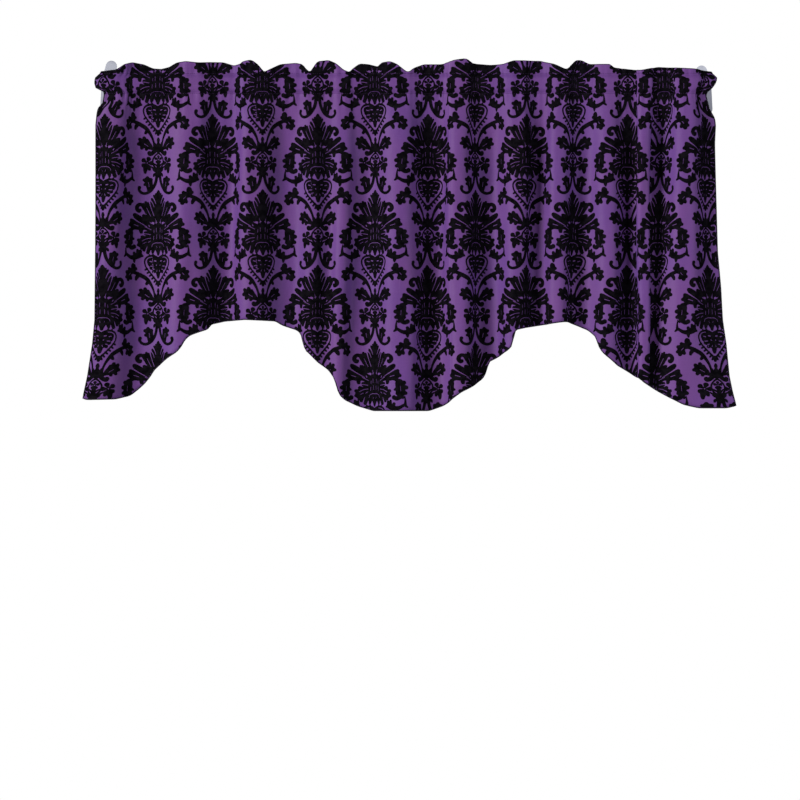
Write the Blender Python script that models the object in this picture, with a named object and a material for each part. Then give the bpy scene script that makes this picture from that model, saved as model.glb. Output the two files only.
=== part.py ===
"""A scalloped window valance hanging from a flat curtain rod on two wall brackets.

Frame: the wall is the plane y = 0, the room lies towards -y, +z is up, and the origin lies on the
wall, level with the rod's middle, half-way between the brackets. Lengths are metres; the tables
of the cloth are in millimetres and are scaled where they are read.

The cloth is one piece. It rises up the front as the panel, passes in front of the rod, stands
above it as a ruffle, turns over and comes down behind the rod to the lower stitch line, where it
is sewn to the panel. "Cloth" positions run along the flat cloth from its left edge to its right.
"""

import math

import bmesh
import bpy
import numpy as np

MM = 0.001

# ---- rod and brackets --------------------------------------------------------------------------
ROD_REACH = 0.056          # wall to the middle of the rod's front run
ROD_HALF_SPAN = 0.4343     # middle of the object to the middle of a return
ROD_TALL = 0.020
ROD_DEEP = 0.008
ROD_WALL = 0.0008          # sheet steel of the rolled rod
ROD_EDGE_RADIUS = 0.0032
ROD_BEND_RADIUS = 0.014    # middle line of a corner
ROD_WALL_GAP = 0.0024      # the rod's end to the wall: the plate and 0.3 mm lie between
ROD_BEND_STEPS = 7
ROD_EDGE_STEPS = 3

PLATE_THICK = 0.0021
PLATE_TOP_LOBE = (-0.0036, 0.0240, 0.0082)     # outward offset, height, radius
PLATE_MIDDLE = (0.0010, 0.0020, 0.0098)
PLATE_LOW_LOBE = (0.0067, -0.0318, 0.0058)
PLATE_RISE = {-1: 0.0035, 1: -0.0035}          # the plates sit a little unevenly on the wall
PLATE_ARC_STEPS = 18
STRAIGHT = 1e-12               # square metres: three points this flat lie on one line
TONGUE_CLEAR = 0.0003      # between the tongue and the rod's bore
TONGUE_LENGTH = 0.026

# ---- the cloth ---------------------------------------------------------------------------------
CLOTH_THICK = 0.0012
POCKET_HALF_DEPTH = 0.0070     # rod's middle to the middle of a layer that lies against it
POCKET_PART = 0.0045           # how far the pocket's two layers part from the fold between them
UPPER_STITCH = 0.0130          # heights from the rod's middle
LOWER_STITCH = -0.0155
POCKET_OUTER = (-0.0128, -0.0050, 0.0040, 0.0116)     # rows of the pocket's outer face
POCKET_INNER = (-0.0120, -0.0050, 0.0040, 0.0104)     # rows of its inner face, over the rod
RUFFLE_THICK = 0.0034          # two layers and the air between them
RUFFLE_ROWS = (0.45, 0.85)     # shares of the ruffle's height
RUFFLE_CROWN = 0.001           # how far the turned top stands above its two layers
LOW_LEVEL = -0.416             # height at which the low columns of FOLDS hold
PANEL_ROWS = (0.03, 0.07, 0.13, 0.21, 0.33, 0.47, 0.62, 0.77, 0.89)     # shares of the drop
FLANK_RISE = 0.42              # share of a fold's flank over which it turns
COLUMN_STEP = 0.0118
DENSE_COLUMNS = (0.925, 1.060, 0.0052)     # from, to and step across the tight pleat
STEEPEST_SLOPE = 2.6           # radians: a flank past a quarter turn folds over its neighbour
SLOPE_STEPS = 520
PLAN_STEP = 0.001              # cloth step of the folds' plan
PLAN_LEVELS = 29               # heights at which the plan is worked out
DEEPEST_FALL = 1.12            # the lowest of them, where 1 is LOW_LEVEL
DRIFT_STEPS = 60               # half the window that follows the folds' drift, in plan steps
NORMAL_REACH = 0.0015          # cloth to either side that a normal is read from
CURVE_WINDOW = (-0.006, 0.006, 7)     # from, to and count of the places a curve averages
SHADE_ANGLE = 40               # degrees: sharper edges than this stay sharp

# Crest and valley lines in turn, from the left edge to the right: where each lies in the cloth
# and across the window, under the heading and again near the hem (millimetres).
FOLDS = (
    # cloth, across | cloth, across
    (0, -450, 0, -452),
    (20, -433, 17, -438),
    (92, -375, 82, -383),
    (170, -305, 163, -312),
    (214, -267, 212, -268),
    (280, -219, 276, -222),
    (338, -168, 338, -168),
    (380, -131, 377, -134),
    (393, -119, 401, -112),
    (426, -90, 417, -98),
    (452, -67, 442, -76),
    (518, -9, 528, -1),
    (572, 37, 578, 41),
    (627, 77, 629, 78),
    (677, 114, 675, 113),
    (739, 164, 739, 164),
    (776, 192, 776, 192),
    (818, 223, 805, 213),
    (862, 257, 854, 250),
    (899, 290, 909, 298),
    (936, 322, 936, 321),
    (986, 348, 996, 349),
    (1018, 366, 1016, 346),
    (1079, 408, 1080, 405),
    (1137, 446, 1137, 459),
)

# Height of the ruffle's top above the rod's middle, by position across (millimetres).
RUFFLE_TOP = (
    (-450, 15), (-440, 16), (-427, 19), (-415, 25), (-404, 29), (-386, 29), (-375, 25),
    (-363, 19), (-357, 19), (-346, 22), (-328, 30), (-311, 30), (-299, 28), (-282, 30),
    (-270, 30), (-253, 25), (-241, 26), (-230, 32), (-218, 29), (-207, 15), (-195, 19),
    (-178, 26), (-160, 29), (-149, 25), (-143, 17), (-137, 19), (-125, 32), (-114, 32),
    (-102, 28), (-91, 17), (-85, 15), (-73, 25), (-62, 28), (-44, 23), (-33, 30), (-27, 30),
    (-9, 22), (2, 15), (14, 23), (37, 28), (60, 29), (78, 35), (89, 33), (95, 26), (136, 26),
    (153, 32), (194, 32), (217, 25), (228, 19), (234, 19), (246, 32), (252, 32), (263, 25),
    (281, 28), (298, 22), (315, 19), (350, 19), (368, 23), (385, 23), (397, 20), (420, 20),
    (449, 15),
)

# Depth of the hem below the rod's middle, by position across (millimetres): three scallops.
HEM = (
    (-470, 457), (-415, 457), (-404, 452), (-392, 447), (-381, 436), (-369, 418), (-346, 399),
    (-323, 373), (-299, 361), (-276, 347), (-241, 344), (-207, 344), (-183, 351), (-160, 358),
    (-149, 387), (-125, 407), (-102, 432), (-91, 458), (-67, 468), (-44, 475), (25, 475),
    (49, 470), (72, 455), (95, 439), (107, 431), (118, 400), (141, 387), (153, 378), (165, 352),
    (199, 348), (223, 344), (246, 351), (269, 361), (281, 386), (304, 407), (327, 422),
    (350, 438), (373, 453), (397, 463), (431, 470), (455, 470), (475, 463),
)

# How far the two side edges leave the fold table's end columns, outward positive, by height
# (millimetres): gathered in at the stitch lines, spread at the pocket's mouth and at the tails.
EDGE_SHIFT = (
    # height, left, right
    (-470, 19, 18), (-448, 15, 13), (-425, 10, 9), (-378, 3, 6), (-343, 0, 2), (-295, 0, 1),
    (-245, 0, -2), (-88, 0, -1), (-61, 0, 1), (-51, -1, 0), (-42, -2, -5), (-36, -4, -8),
    (-30, -10, -9), (-19, -12, -12), (-13, -12, -10), (-7, 0, -3), (0, 2, 2), (7, 1, 4),
    (13, -6, -2), (18, -9, -5), (36, -12, -9),
)

# How much of its full depth a fold has at each height, and how far its middle lies from the
# rod's middle, away from the room (millimetres): the pocket gathers the folds flat.
GATHER = (
    # height, share of the depth, middle
    (-600, 1.0, 0.0), (-130, 1.0, 0.0), (-75, 0.82, -1.5), (-40, 0.55, -3.5), (-22, 0.36, -5.0),
    (-12, 0.32, -5.0), (12, 0.32, -4.5), (18, 0.42, -3.0), (36, 0.62, -1.0),
)
EDGE_SHIFT_REACH = 0.042       # how far into the cloth the shift is felt
MOUTH_CORNER = 0.4330          # where the front layer starts to bend back round the rod's corner
MOUTH_BEND_RADIUS = 0.0225     # of that bend
BACK_LAYER_LIMIT = 0.4270      # the back layer stays between the rod's returns
BACK_LAYER_CROWDS = 0.4000     # and is crowded together from here on
LAYER_SOFTNESS = 0.0022        # rounds the line where a layer leaves the rod's face


def curve_through(table, column, places):
    """A rounded line through a table's points: the piecewise line averaged over a short window."""
    rows = np.array(table, float) * MM
    shifts = np.linspace(*CURVE_WINDOW)
    values = [np.interp(places + shift, rows[:, 0], rows[:, column]) for shift in shifts]
    return np.mean(values, axis=0)


def flank_shape(share):
    """How a flank's slope grows and fades between two fold lines: a plateau with soft ends."""
    rising = np.clip(share / FLANK_RISE, 0, 1)
    fading = np.clip((1 - share) / FLANK_RISE, 0, 1)
    return rising ** 2 * (3 - 2 * rising) * fading ** 2 * (3 - 2 * fading)


def slope_for(width_ratio):
    """The steepest slope of a flank whose width across is this share of its cloth."""
    slopes = np.linspace(0, STEEPEST_SLOPE, SLOPE_STEPS + 1)
    share = np.linspace(0, 1, SLOPE_STEPS + 1)
    ratios = np.cos(slopes[:, None] * flank_shape(share)).mean(axis=1)
    return np.interp(-width_ratio, -ratios, slopes)


def fold_plan(fall, cloth):
    """Plan of the folds at one height: positions across and depth for each cloth position.

    fall is 0 at the heading and 1 at LOW_LEVEL. The cloth keeps its length: each flank turns
    until its width fits, so narrow flanks stand deep. A slow drift of the depth is taken out.
    """
    head_cloth, head_across, low_cloth, low_across = np.array(FOLDS, float).T * MM
    line_cloth = head_cloth + (low_cloth - head_cloth) * fall
    line_across = head_across + (low_across - head_across) * fall
    slopes = slope_for(np.diff(line_across) / np.diff(line_cloth))
    slopes[0::2] *= -1
    flank = np.clip(np.searchsorted(line_cloth, cloth, side="right") - 1, 0, len(slopes) - 1)
    share = (cloth - line_cloth[flank]) / np.diff(line_cloth)[flank]
    slope = slopes[flank] * flank_shape(share)
    step = np.gradient(cloth)
    across = np.cumsum(np.cos(slope) * step)
    across += line_across[0] - across[0]
    across += np.interp(cloth, line_cloth, line_across - np.interp(line_cloth, cloth, across))
    depth = np.cumsum(np.sin(slope) * step)
    at_lines = np.interp(line_cloth, cloth, depth)
    middles = (line_cloth[1:] + line_cloth[:-1]) / 2
    drift = np.interp(cloth, middles, (at_lines[1:] + at_lines[:-1]) / 2)
    window = np.hanning(2 * DRIFT_STEPS + 1)
    padded = np.pad(drift, DRIFT_STEPS, mode="edge")
    return across, depth - np.convolve(padded, window / window.sum(), mode="valid")


def cloth_columns():
    """Cloth positions of the mesh's columns, closer together across the tight pleat."""
    start, stop, step = DENSE_COLUMNS
    width = FOLDS[-1][0] * MM
    left = np.linspace(0, start, round(start / COLUMN_STEP) + 1)
    middle = np.linspace(start, stop, round((stop - start) / step) + 1)
    right = np.linspace(stop, width, round((width - stop) / COLUMN_STEP) + 1)
    return np.concatenate([left, middle[1:], right[1:]])


class FoldField:
    """The folded cloth's plan at every height, read by cloth position and height."""

    def __init__(self):
        width = FOLDS[-1][0] * MM
        self.cloth = np.linspace(0, width, round(width / PLAN_STEP) + 1)
        self.falls = np.linspace(0, DEEPEST_FALL, PLAN_LEVELS)
        plans = [fold_plan(fall, self.cloth) for fall in self.falls]
        self.across = np.array([plan[0] for plan in plans])
        self.depth = np.array([plan[1] for plan in plans])

    def at(self, cloth, height):
        """Across, depth and the unit normal towards the room at cloth positions and heights."""
        fall = np.clip((height - LOWER_STITCH) / (LOW_LEVEL - LOWER_STITCH), 0, self.falls[-1])
        row = np.clip(np.searchsorted(self.falls, fall) - 1, 0, len(self.falls) - 2)
        blend = (fall - self.falls[row]) / (self.falls[1] - self.falls[0])

        def read(field, places):
            column = np.clip(places / PLAN_STEP, 0, len(self.cloth) - 1)
            left = np.minimum(column.astype(int), len(self.cloth) - 2)
            part = column - left
            upper = field[row, left] * (1 - part) + field[row, left + 1] * part
            lower = field[row + 1, left] * (1 - part) + field[row + 1, left + 1] * part
            return upper * (1 - blend) + lower * blend

        heights, shares, middles = np.array(GATHER, float).T
        share = np.interp(height, heights * MM, shares)
        middle = np.interp(height, heights * MM, middles * MM)
        across = read(self.across, cloth)
        depth = read(self.depth, cloth) * share
        before, after = cloth - NORMAL_REACH, cloth + NORMAL_REACH
        along_x = read(self.across, after) - read(self.across, before)
        along_y = (read(self.depth, after) - read(self.depth, before)) * share
        length = np.hypot(along_x, along_y)
        across = across + edge_shift(cloth, height)
        return across, depth + middle, along_y / length, -along_x / length


def edge_shift(cloth, height):
    """Sideways shift of the cloth near its two side edges."""
    heights, left, right = np.array(EDGE_SHIFT, float).T * MM
    from_left = cloth / EDGE_SHIFT_REACH
    from_right = (FOLDS[-1][0] * MM - cloth) / EDGE_SHIFT_REACH
    pull_left = np.interp(height, heights, left) * np.exp(-from_left ** 2)
    pull_right = np.interp(height, heights, right) * np.exp(-from_right ** 2)
    return pull_right - pull_left


def soft_max(first, second):
    """The larger of two values, with the corner between them rounded."""
    return (first + second + np.sqrt((first - second) ** 2 + LAYER_SOFTNESS ** 2)) / 2


def layer_point(field, cloth, height, side, offset):
    """A point of a layer of the pocket, offset from the layer's middle towards the room.

    side is -1 for the front layer and +1 for the back one. A layer follows the fold where the
    fold stands clear of the rod, and otherwise lies against the rod's face.
    """
    across, wave, _, _ = field.at(cloth, height)
    depth = side * soft_max(side * wave + POCKET_PART, POCKET_HALF_DEPTH)
    if side < 0:
        past_corner = np.maximum(np.abs(across) - MOUTH_CORNER, 0)
        depth += past_corner ** 2 / (2 * MOUTH_BEND_RADIUS)
    else:
        excess = np.maximum(np.abs(across) - BACK_LAYER_CROWDS, 0)
        room = BACK_LAYER_LIMIT - BACK_LAYER_CROWDS
        crowded = BACK_LAYER_CROWDS + room * (1 - np.exp(-excess / room))
        across = np.where(excess > 0, np.sign(across) * crowded, across)
    return np.stack([across, depth - offset, height], axis=-1)


def sheet_point(field, cloth, height, offset):
    """A point of the single sheet, or of the ruffle, offset along its normal to the room."""
    across, depth, normal_x, normal_y = field.at(cloth, height)
    return np.stack([across + normal_x * offset, depth + normal_y * offset, height], axis=-1)


def cloth_rows(field, cloth):
    """The cloth's two rings of rows: round the outside, and round the inside of the pocket."""
    level = np.ones_like(cloth)
    half = CLOTH_THICK / 2
    stitched = CLOTH_THICK     # half of two layers
    hem = -curve_through(HEM, 1, field.at(cloth, LOW_LEVEL * level)[0])
    top = curve_through(RUFFLE_TOP, 1, field.at(cloth, UPPER_STITCH * level)[0])
    panel = [hem] + [LOWER_STITCH + (hem - LOWER_STITCH) * share for share in PANEL_ROWS[::-1]]
    ruffle = [UPPER_STITCH + (top - UPPER_STITCH) * share for share in RUFFLE_ROWS]
    outside = [sheet_point(field, cloth, height, half) for height in panel]
    outside.append(sheet_point(field, cloth, LOWER_STITCH * level, stitched))
    outside += [layer_point(field, cloth, height * level, -1, half) for height in POCKET_OUTER]
    outside.append(sheet_point(field, cloth, UPPER_STITCH * level, stitched))
    outside += [sheet_point(field, cloth, height, RUFFLE_THICK / 2) for height in ruffle]
    outside.append(sheet_point(field, cloth, top + RUFFLE_CROWN, 0))
    outside += [sheet_point(field, cloth, height, -RUFFLE_THICK / 2) for height in ruffle[::-1]]
    outside.append(sheet_point(field, cloth, UPPER_STITCH * level, -stitched))
    outside += [layer_point(field, cloth, height * level, 1, -half)
                for height in POCKET_OUTER[::-1]]
    outside.append(sheet_point(field, cloth, LOWER_STITCH * level, -stitched))
    outside += [sheet_point(field, cloth, height, -half) for height in panel[::-1]]
    inside = [layer_point(field, cloth, height * level, -1, -half) for height in POCKET_INNER]
    inside += [layer_point(field, cloth, height * level, 1, half) for height in POCKET_INNER[::-1]]
    return np.array(outside), np.array(inside)


def material(name, colour, roughness, metallic=0.0):
    """A plain Principled material."""
    made = bpy.data.materials.new(name)
    made.use_nodes = True
    shader = made.node_tree.nodes["Principled BSDF"]
    shader.inputs["Base Color"].default_value = (*colour, 1)
    shader.inputs["Roughness"].default_value = roughness
    shader.inputs["Metallic"].default_value = metallic
    return made


def add_object(name, mesh, made):
    """Link a mesh into the scene under its node's name."""
    mesh.materials.append(made)
    placed = bpy.data.objects.new(name, mesh)
    bpy.context.collection.objects.link(placed)
    return placed


def tube_faces(rings, stations, first, outward):
    """Quads between neighbouring rings of a swept section; outward says which way they face."""
    faces = []
    for station in range(stations - 1):
        for point in range(rings):
            after = (point + 1) % rings
            low = first + station * rings
            high = low + rings
            quad = (low + point, low + after, high + after, high + point)
            faces.append(quad if outward else quad[::-1])
    return faces


def ring_cap(points):
    """Faces that close a section whose outline and bore have the same number of points."""
    faces = []
    for point in range(points):
        after = (point + 1) % points
        faces.append((("out", point), ("out", after), ("in", after), ("in", point)))
    return faces


def cloth_cap(outer_points, panel_points):
    """Faces that close the cloth's section: strips across the sheet and round the pocket."""
    def mirror(point):
        return outer_points - 1 - point

    def across(low, high):
        return [(("out", k), ("out", k + 1), ("out", mirror(k + 1)), ("out", mirror(k)))
                for k in range(low, high)]

    lower = panel_points
    upper = lower + len(POCKET_OUTER) + 1
    top = (outer_points - 1) // 2
    last = 2 * len(POCKET_INNER) - 1
    crown = len(POCKET_INNER) - 1
    faces = across(0, lower) + across(upper, top - 1)
    faces.append((("out", top - 1), ("out", top), ("out", mirror(top - 1))))
    faces.append((("out", lower), ("out", lower + 1), ("in", 0), ("in", last)))
    faces.append((("out", lower), ("in", last), ("out", mirror(lower + 1)), ("out", mirror(lower))))
    for k in range(crown):
        faces.append((("out", lower + 1 + k), ("out", lower + 2 + k), ("in", k + 1), ("in", k)))
        faces.append((("out", mirror(lower + 1 + k)), ("in", last - k), ("in", last - k - 1),
                      ("out", mirror(lower + 2 + k))))
    faces.append((("out", upper - 1), ("out", upper), ("in", crown + 1), ("in", crown)))
    faces.append((("out", upper), ("out", mirror(upper)), ("out", mirror(upper - 1)),
                  ("in", crown + 1)))
    return faces


def swept_shell(name, outside, inside, cap):
    """A closed body swept along stations: outside and inside are (ring, station, xyz) arrays."""
    stations = outside.shape[1]
    points = np.concatenate([outside.transpose(1, 0, 2).reshape(-1, 3),
                             inside.transpose(1, 0, 2).reshape(-1, 3)])
    bore = len(outside) * stations
    faces = tube_faces(len(outside), stations, 0, True)
    faces += tube_faces(len(inside), stations, bore, False)
    for station in (0, stations - 1):
        first = {"out": station * len(outside), "in": bore + station * len(inside)}
        faces += [tuple(first[ring] + point for ring, point in face) for face in cap]
    mesh = bpy.data.meshes.new(name)
    mesh.from_pydata(points.tolist(), [], faces)
    bm = bmesh.new()
    bm.from_mesh(mesh)
    bmesh.ops.recalc_face_normals(bm, faces=bm.faces)
    bm.to_mesh(mesh)
    bm.free()
    mesh.shade_smooth()
    mesh.set_sharp_from_angle(angle=math.radians(SHADE_ANGLE))
    return mesh


def make_cloth():
    """The valance's cloth: panel, rod pocket and ruffle in one piece, hanging in its folds."""
    outside, inside = cloth_rows(FoldField(), cloth_columns())
    cap = cloth_cap(len(outside), len(PANEL_ROWS) + 1)
    mesh = swept_shell("valance_cloth", outside, inside, cap)
    placed = add_object("valance_cloth", mesh, material("violet_cloth", (0.115, 0.045, 0.25), 0.6))
    placed.location = (0, -ROD_REACH, 0)


def rod_path():
    """Stations of the rod's middle line in plan: a return, the front run and the other return."""
    centre_x = ROD_HALF_SPAN - ROD_BEND_RADIUS
    centre_y = -ROD_REACH + ROD_BEND_RADIUS
    left = [(-ROD_HALF_SPAN, -ROD_WALL_GAP, 0.0)]
    for turn in np.linspace(0, math.pi / 2, ROD_BEND_STEPS):
        left.append((-centre_x - ROD_BEND_RADIUS * math.cos(turn),
                     centre_y - ROD_BEND_RADIUS * math.sin(turn), turn))
    right = [(-x, y, math.pi - turn) for x, y, turn in left[::-1]]
    return left + right


def flat_oval(deep, tall, radius):
    """Outline of the rod's section: (outward, up) pairs of a rectangle with round corners."""
    outline = []
    for corner_y, corner_z, start in ((1, 1, 0), (-1, 1, 90), (-1, -1, 180), (1, -1, 270)):
        for turn in np.linspace(start, start + 90, ROD_EDGE_STEPS + 1):
            outline.append((corner_y * (deep / 2 - radius) + radius * math.cos(math.radians(turn)),
                            corner_z * (tall / 2 - radius) + radius * math.sin(math.radians(turn))))
    return outline


def sweep(outline):
    """Rings of a section along the rod's path: an array of (ring, station, xyz)."""
    rings = []
    for outward, up in outline:
        rings.append([(x - outward * math.cos(turn), y - outward * math.sin(turn), up)
                      for x, y, turn in rod_path()])
    return np.array(rings)


def make_rod():
    """The flat curtain rod: a rolled steel tube bent back to the wall at both ends."""
    outer = flat_oval(ROD_DEEP, ROD_TALL, ROD_EDGE_RADIUS)
    bore = flat_oval(ROD_DEEP - 2 * ROD_WALL, ROD_TALL - 2 * ROD_WALL, ROD_EDGE_RADIUS - ROD_WALL)
    mesh = swept_shell("curtain_rod", sweep(outer), sweep(bore), ring_cap(len(outer)))
    add_object("curtain_rod", mesh, material("white_enamel", (0.80, 0.81, 0.84), 0.35))


def lobe_hull(lobes):
    """Convex outline round a chain of circles given as (outward, height, radius)."""
    points = []
    for outward, height, radius in lobes:
        for turn in np.linspace(0, 2 * math.pi, PLATE_ARC_STEPS, endpoint=False):
            points.append((outward + radius * math.cos(turn), height + radius * math.sin(turn)))
    points = sorted(set(points))
    chains = []
    for ordered in (points, points[::-1]):
        chain = []
        for point in ordered:
            while len(chain) > 1 and turn_sign(chain[-2], chain[-1], point) <= STRAIGHT:
                chain.pop()
            chain.append(point)
        chains += chain[:-1]
    return chains


def turn_sign(first, second, third):
    """Positive where three points turn left."""
    return ((second[0] - first[0]) * (third[1] - first[1])
            - (second[1] - first[1]) * (third[0] - first[0]))


def extruded(outline, back, front, side):
    """A bmesh prism: an (outward, height) outline between two depths, mirrored by side."""
    bm = bmesh.new()
    rim = [bm.verts.new((side * (ROD_HALF_SPAN + outward), back, height))
           for outward, height in outline]
    face = bm.faces.new(rim)
    grown = bmesh.ops.extrude_face_region(bm, geom=[face])["geom"]
    moved = [item for item in grown if isinstance(item, bmesh.types.BMVert)]
    bmesh.ops.translate(bm, verts=moved, vec=(0, front - back, 0))
    bmesh.ops.recalc_face_normals(bm, faces=bm.faces)
    return bm


def make_bracket(name, side, made):
    """A wall bracket: a leaf-shaped plate with a tongue that the rod's end slides over."""
    mesh = bpy.data.meshes.new(name)
    lobes = [(outward, height + PLATE_RISE[side], radius)
             for outward, height, radius in (PLATE_TOP_LOBE, PLATE_MIDDLE, PLATE_LOW_LOBE)]
    plate = extruded(lobe_hull(lobes), 0, -PLATE_THICK, side)
    plate.to_mesh(mesh)
    plate.free()
    half_deep = ROD_DEEP / 2 - ROD_WALL - TONGUE_CLEAR
    half_tall = ROD_TALL / 2 - ROD_WALL - TONGUE_CLEAR
    corner = ROD_EDGE_RADIUS - ROD_WALL
    outline = flat_oval(2 * half_deep, 2 * half_tall, corner)
    tongue_mesh = bpy.data.meshes.new(name + "_tongue_shape")
    tongue = extruded(outline, -PLATE_THICK / 2, -PLATE_THICK - TONGUE_LENGTH, side)
    tongue.to_mesh(tongue_mesh)
    tongue.free()
    cutter = bpy.data.objects.new(name + "_tongue_shape", tongue_mesh)
    bpy.context.collection.objects.link(cutter)
    cutter.hide_render = True
    cutter.display_type = "WIRE"
    placed = add_object(name, mesh, made)
    join = placed.modifiers.new("tongue", "BOOLEAN")
    join.operation = "UNION"
    join.object = cutter


def build():
    """Make the whole valance."""
    for old in list(bpy.data.objects):
        bpy.data.objects.remove(old)
    make_cloth()
    make_rod()
    steel = material("white_bracket", (0.80, 0.82, 0.88), 0.35)
    make_bracket("bracket_left", -1, steel)
    make_bracket("bracket_right", 1, steel)


build()
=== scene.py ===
# %% [markdown]
# # A scalloped window valance in shot violet taffeta with a black flocked damask
#
# A valance is a short curtain for the top of a window. This one is a single gathered cloth: a
# pocket sewn along its top is pushed on to a flat white rod, the cloth above the pocket stands up
# as a ruffle, and the hem below is cut in scallops. The rod's two ends slide over small wall
# brackets.
#
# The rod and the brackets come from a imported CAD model, which is loaded here as a fixed frame, and
# this script gives them their paint. The cloth is made again as a thin sheet on the same folds,
# because the CAD cloth is thicker and plainer than real fabric. Lengths are metres, the wall is
# the plane y = 0 and the room lies towards -y.

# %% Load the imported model
import math

import bpy
import numpy as np
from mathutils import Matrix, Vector, geometry


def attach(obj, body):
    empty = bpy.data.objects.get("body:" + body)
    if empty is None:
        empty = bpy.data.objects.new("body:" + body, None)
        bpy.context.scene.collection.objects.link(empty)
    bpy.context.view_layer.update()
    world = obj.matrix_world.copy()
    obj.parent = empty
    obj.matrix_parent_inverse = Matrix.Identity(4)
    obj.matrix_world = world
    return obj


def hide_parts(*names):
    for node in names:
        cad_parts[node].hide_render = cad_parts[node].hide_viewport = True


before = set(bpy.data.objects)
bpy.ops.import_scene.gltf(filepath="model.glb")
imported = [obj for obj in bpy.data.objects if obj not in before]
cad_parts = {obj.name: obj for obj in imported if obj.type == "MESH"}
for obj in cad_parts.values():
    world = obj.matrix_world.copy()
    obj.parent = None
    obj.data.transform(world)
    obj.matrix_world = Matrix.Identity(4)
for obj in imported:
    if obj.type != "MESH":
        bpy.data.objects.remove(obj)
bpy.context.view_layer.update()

MM = 0.001
random = np.random.default_rng(12)      # one seeded source, so that every run gives the same cloth

# %% [markdown]
# ## The folds
#
# Gathered cloth doesn't wave like a sine curve. It swings between crest and valley lines, and each
# flank between two lines keeps its own length of cloth, so a flank that is squeezed across turns
# further towards the wall and stands deeper. The tables below say where each crest and valley
# lies in the flat cloth and across the window, how high the ruffle stands, how low the hem hangs,
# and how the side edges and the folds' depth change with height.
#
# The tables of folds, side edges and depth are the CAD model's own, so the fine cloth has its
# folds where the CAD cloth has them. The ruffle and the hem have tables of their own here, with
# sharper steps, because the CAD cloth's edges are smoother than real ones.

# %% Sizes in metres
ROD_REACH = 0.056              # wall to the middle of the rod
POCKET_HALF_DEPTH = 0.0070     # rod's middle to the middle of a layer that lies against it
POCKET_PART = 0.0045           # how far the pocket's two layers part from the fold between them
UPPER_STITCH = 0.0130          # heights from the rod's middle
LOWER_STITCH = -0.0155
LOW_LEVEL = -0.416             # height at which the low columns of FOLDS hold
FLANK_RISE = 0.42              # share of a fold's flank over which it turns
STEEPEST_SLOPE = 2.6           # radians: a flank past a quarter turn folds over its neighbour
SLOPE_STEPS = 520
PLAN_STEP = 0.001              # cloth step of the folds' plan
PLAN_LEVELS = 29               # heights at which the plan is worked out
DEEPEST_FALL = 1.12            # the lowest of them, where 1 is LOW_LEVEL
DRIFT_STEPS = 60               # half the window that follows the folds' drift, in plan steps
NORMAL_REACH = 0.0015          # cloth to either side that a normal is read from
CURVE_WINDOW = (-0.0025, 0.0025, 5)     # from, to and count of the places a curve averages
EDGE_SHIFT_REACH = 0.042       # how far into the cloth the side edges' shift is felt
MOUTH_CORNER = 0.4330          # where the front layer starts to bend back round the rod's corner
MOUTH_BEND_RADIUS = 0.0225     # of that bend
BACK_LAYER_LIMIT = 0.4270      # the back layer stays between the rod's returns
BACK_LAYER_CROWDS = 0.4000     # and is crowded together from here on
LAYER_SOFTNESS = 0.0022        # rounds the line where a layer leaves the rod's face

# %% Fold tables in millimetres
# Crest and valley lines in turn, from the left edge to the right: where each lies in the cloth
# and across the window, under the heading and again near the hem (millimetres).
FOLDS = (
    # cloth, across | cloth, across
    (0, -450, 0, -452),
    (20, -433, 17, -438),
    (92, -375, 82, -383),
    (170, -305, 163, -312),
    (214, -267, 212, -268),
    (280, -219, 276, -222),
    (338, -168, 338, -168),
    (380, -131, 377, -134),
    (393, -119, 401, -112),
    (426, -90, 417, -98),
    (452, -67, 442, -76),
    (518, -9, 528, -1),
    (572, 37, 578, 41),
    (627, 77, 629, 78),
    (677, 114, 675, 113),
    (739, 164, 739, 164),
    (776, 192, 776, 192),
    (818, 223, 805, 213),
    (862, 257, 854, 250),
    (899, 290, 909, 298),
    (936, 322, 936, 321),
    (986, 348, 996, 349),
    (1018, 366, 1016, 346),
    (1079, 408, 1080, 405),
    (1137, 446, 1137, 459),
)

# Height of the ruffle's top above the rod's middle, by position across (millimetres).
RUFFLE_TOP = (
    (-450, 15), (-440, 16), (-422, 18), (-410, 26), (-398, 29), (-381, 26), (-368, 20),
    (-355, 19), (-343, 22), (-333, 28), (-320, 30), (-301, 28), (-282, 29), (-266, 29),
    (-250, 24), (-241, 26), (-236, 30), (-225, 32), (-215, 25), (-207, 14), (-199, 18),
    (-183, 26), (-161, 28), (-151, 26), (-145, 18), (-139, 14), (-135, 21), (-129, 30),
    (-113, 32), (-102, 27), (-92, 18), (-83, 14), (-76, 21), (-68, 27), (-55, 26), (-40, 22),
    (-37, 28), (-24, 30), (-14, 26), (-3, 17), (3, 14), (10, 20), (25, 26), (53, 26), (70, 32),
    (86, 34), (96, 27), (122, 25), (140, 26), (155, 31), (194, 31), (214, 26), (232, 18),
    (240, 25), (245, 32), (254, 32), (265, 26), (296, 26), (299, 21), (339, 17), (365, 22),
    (401, 20), (421, 19), (438, 16), (451, 15),
)

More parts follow.
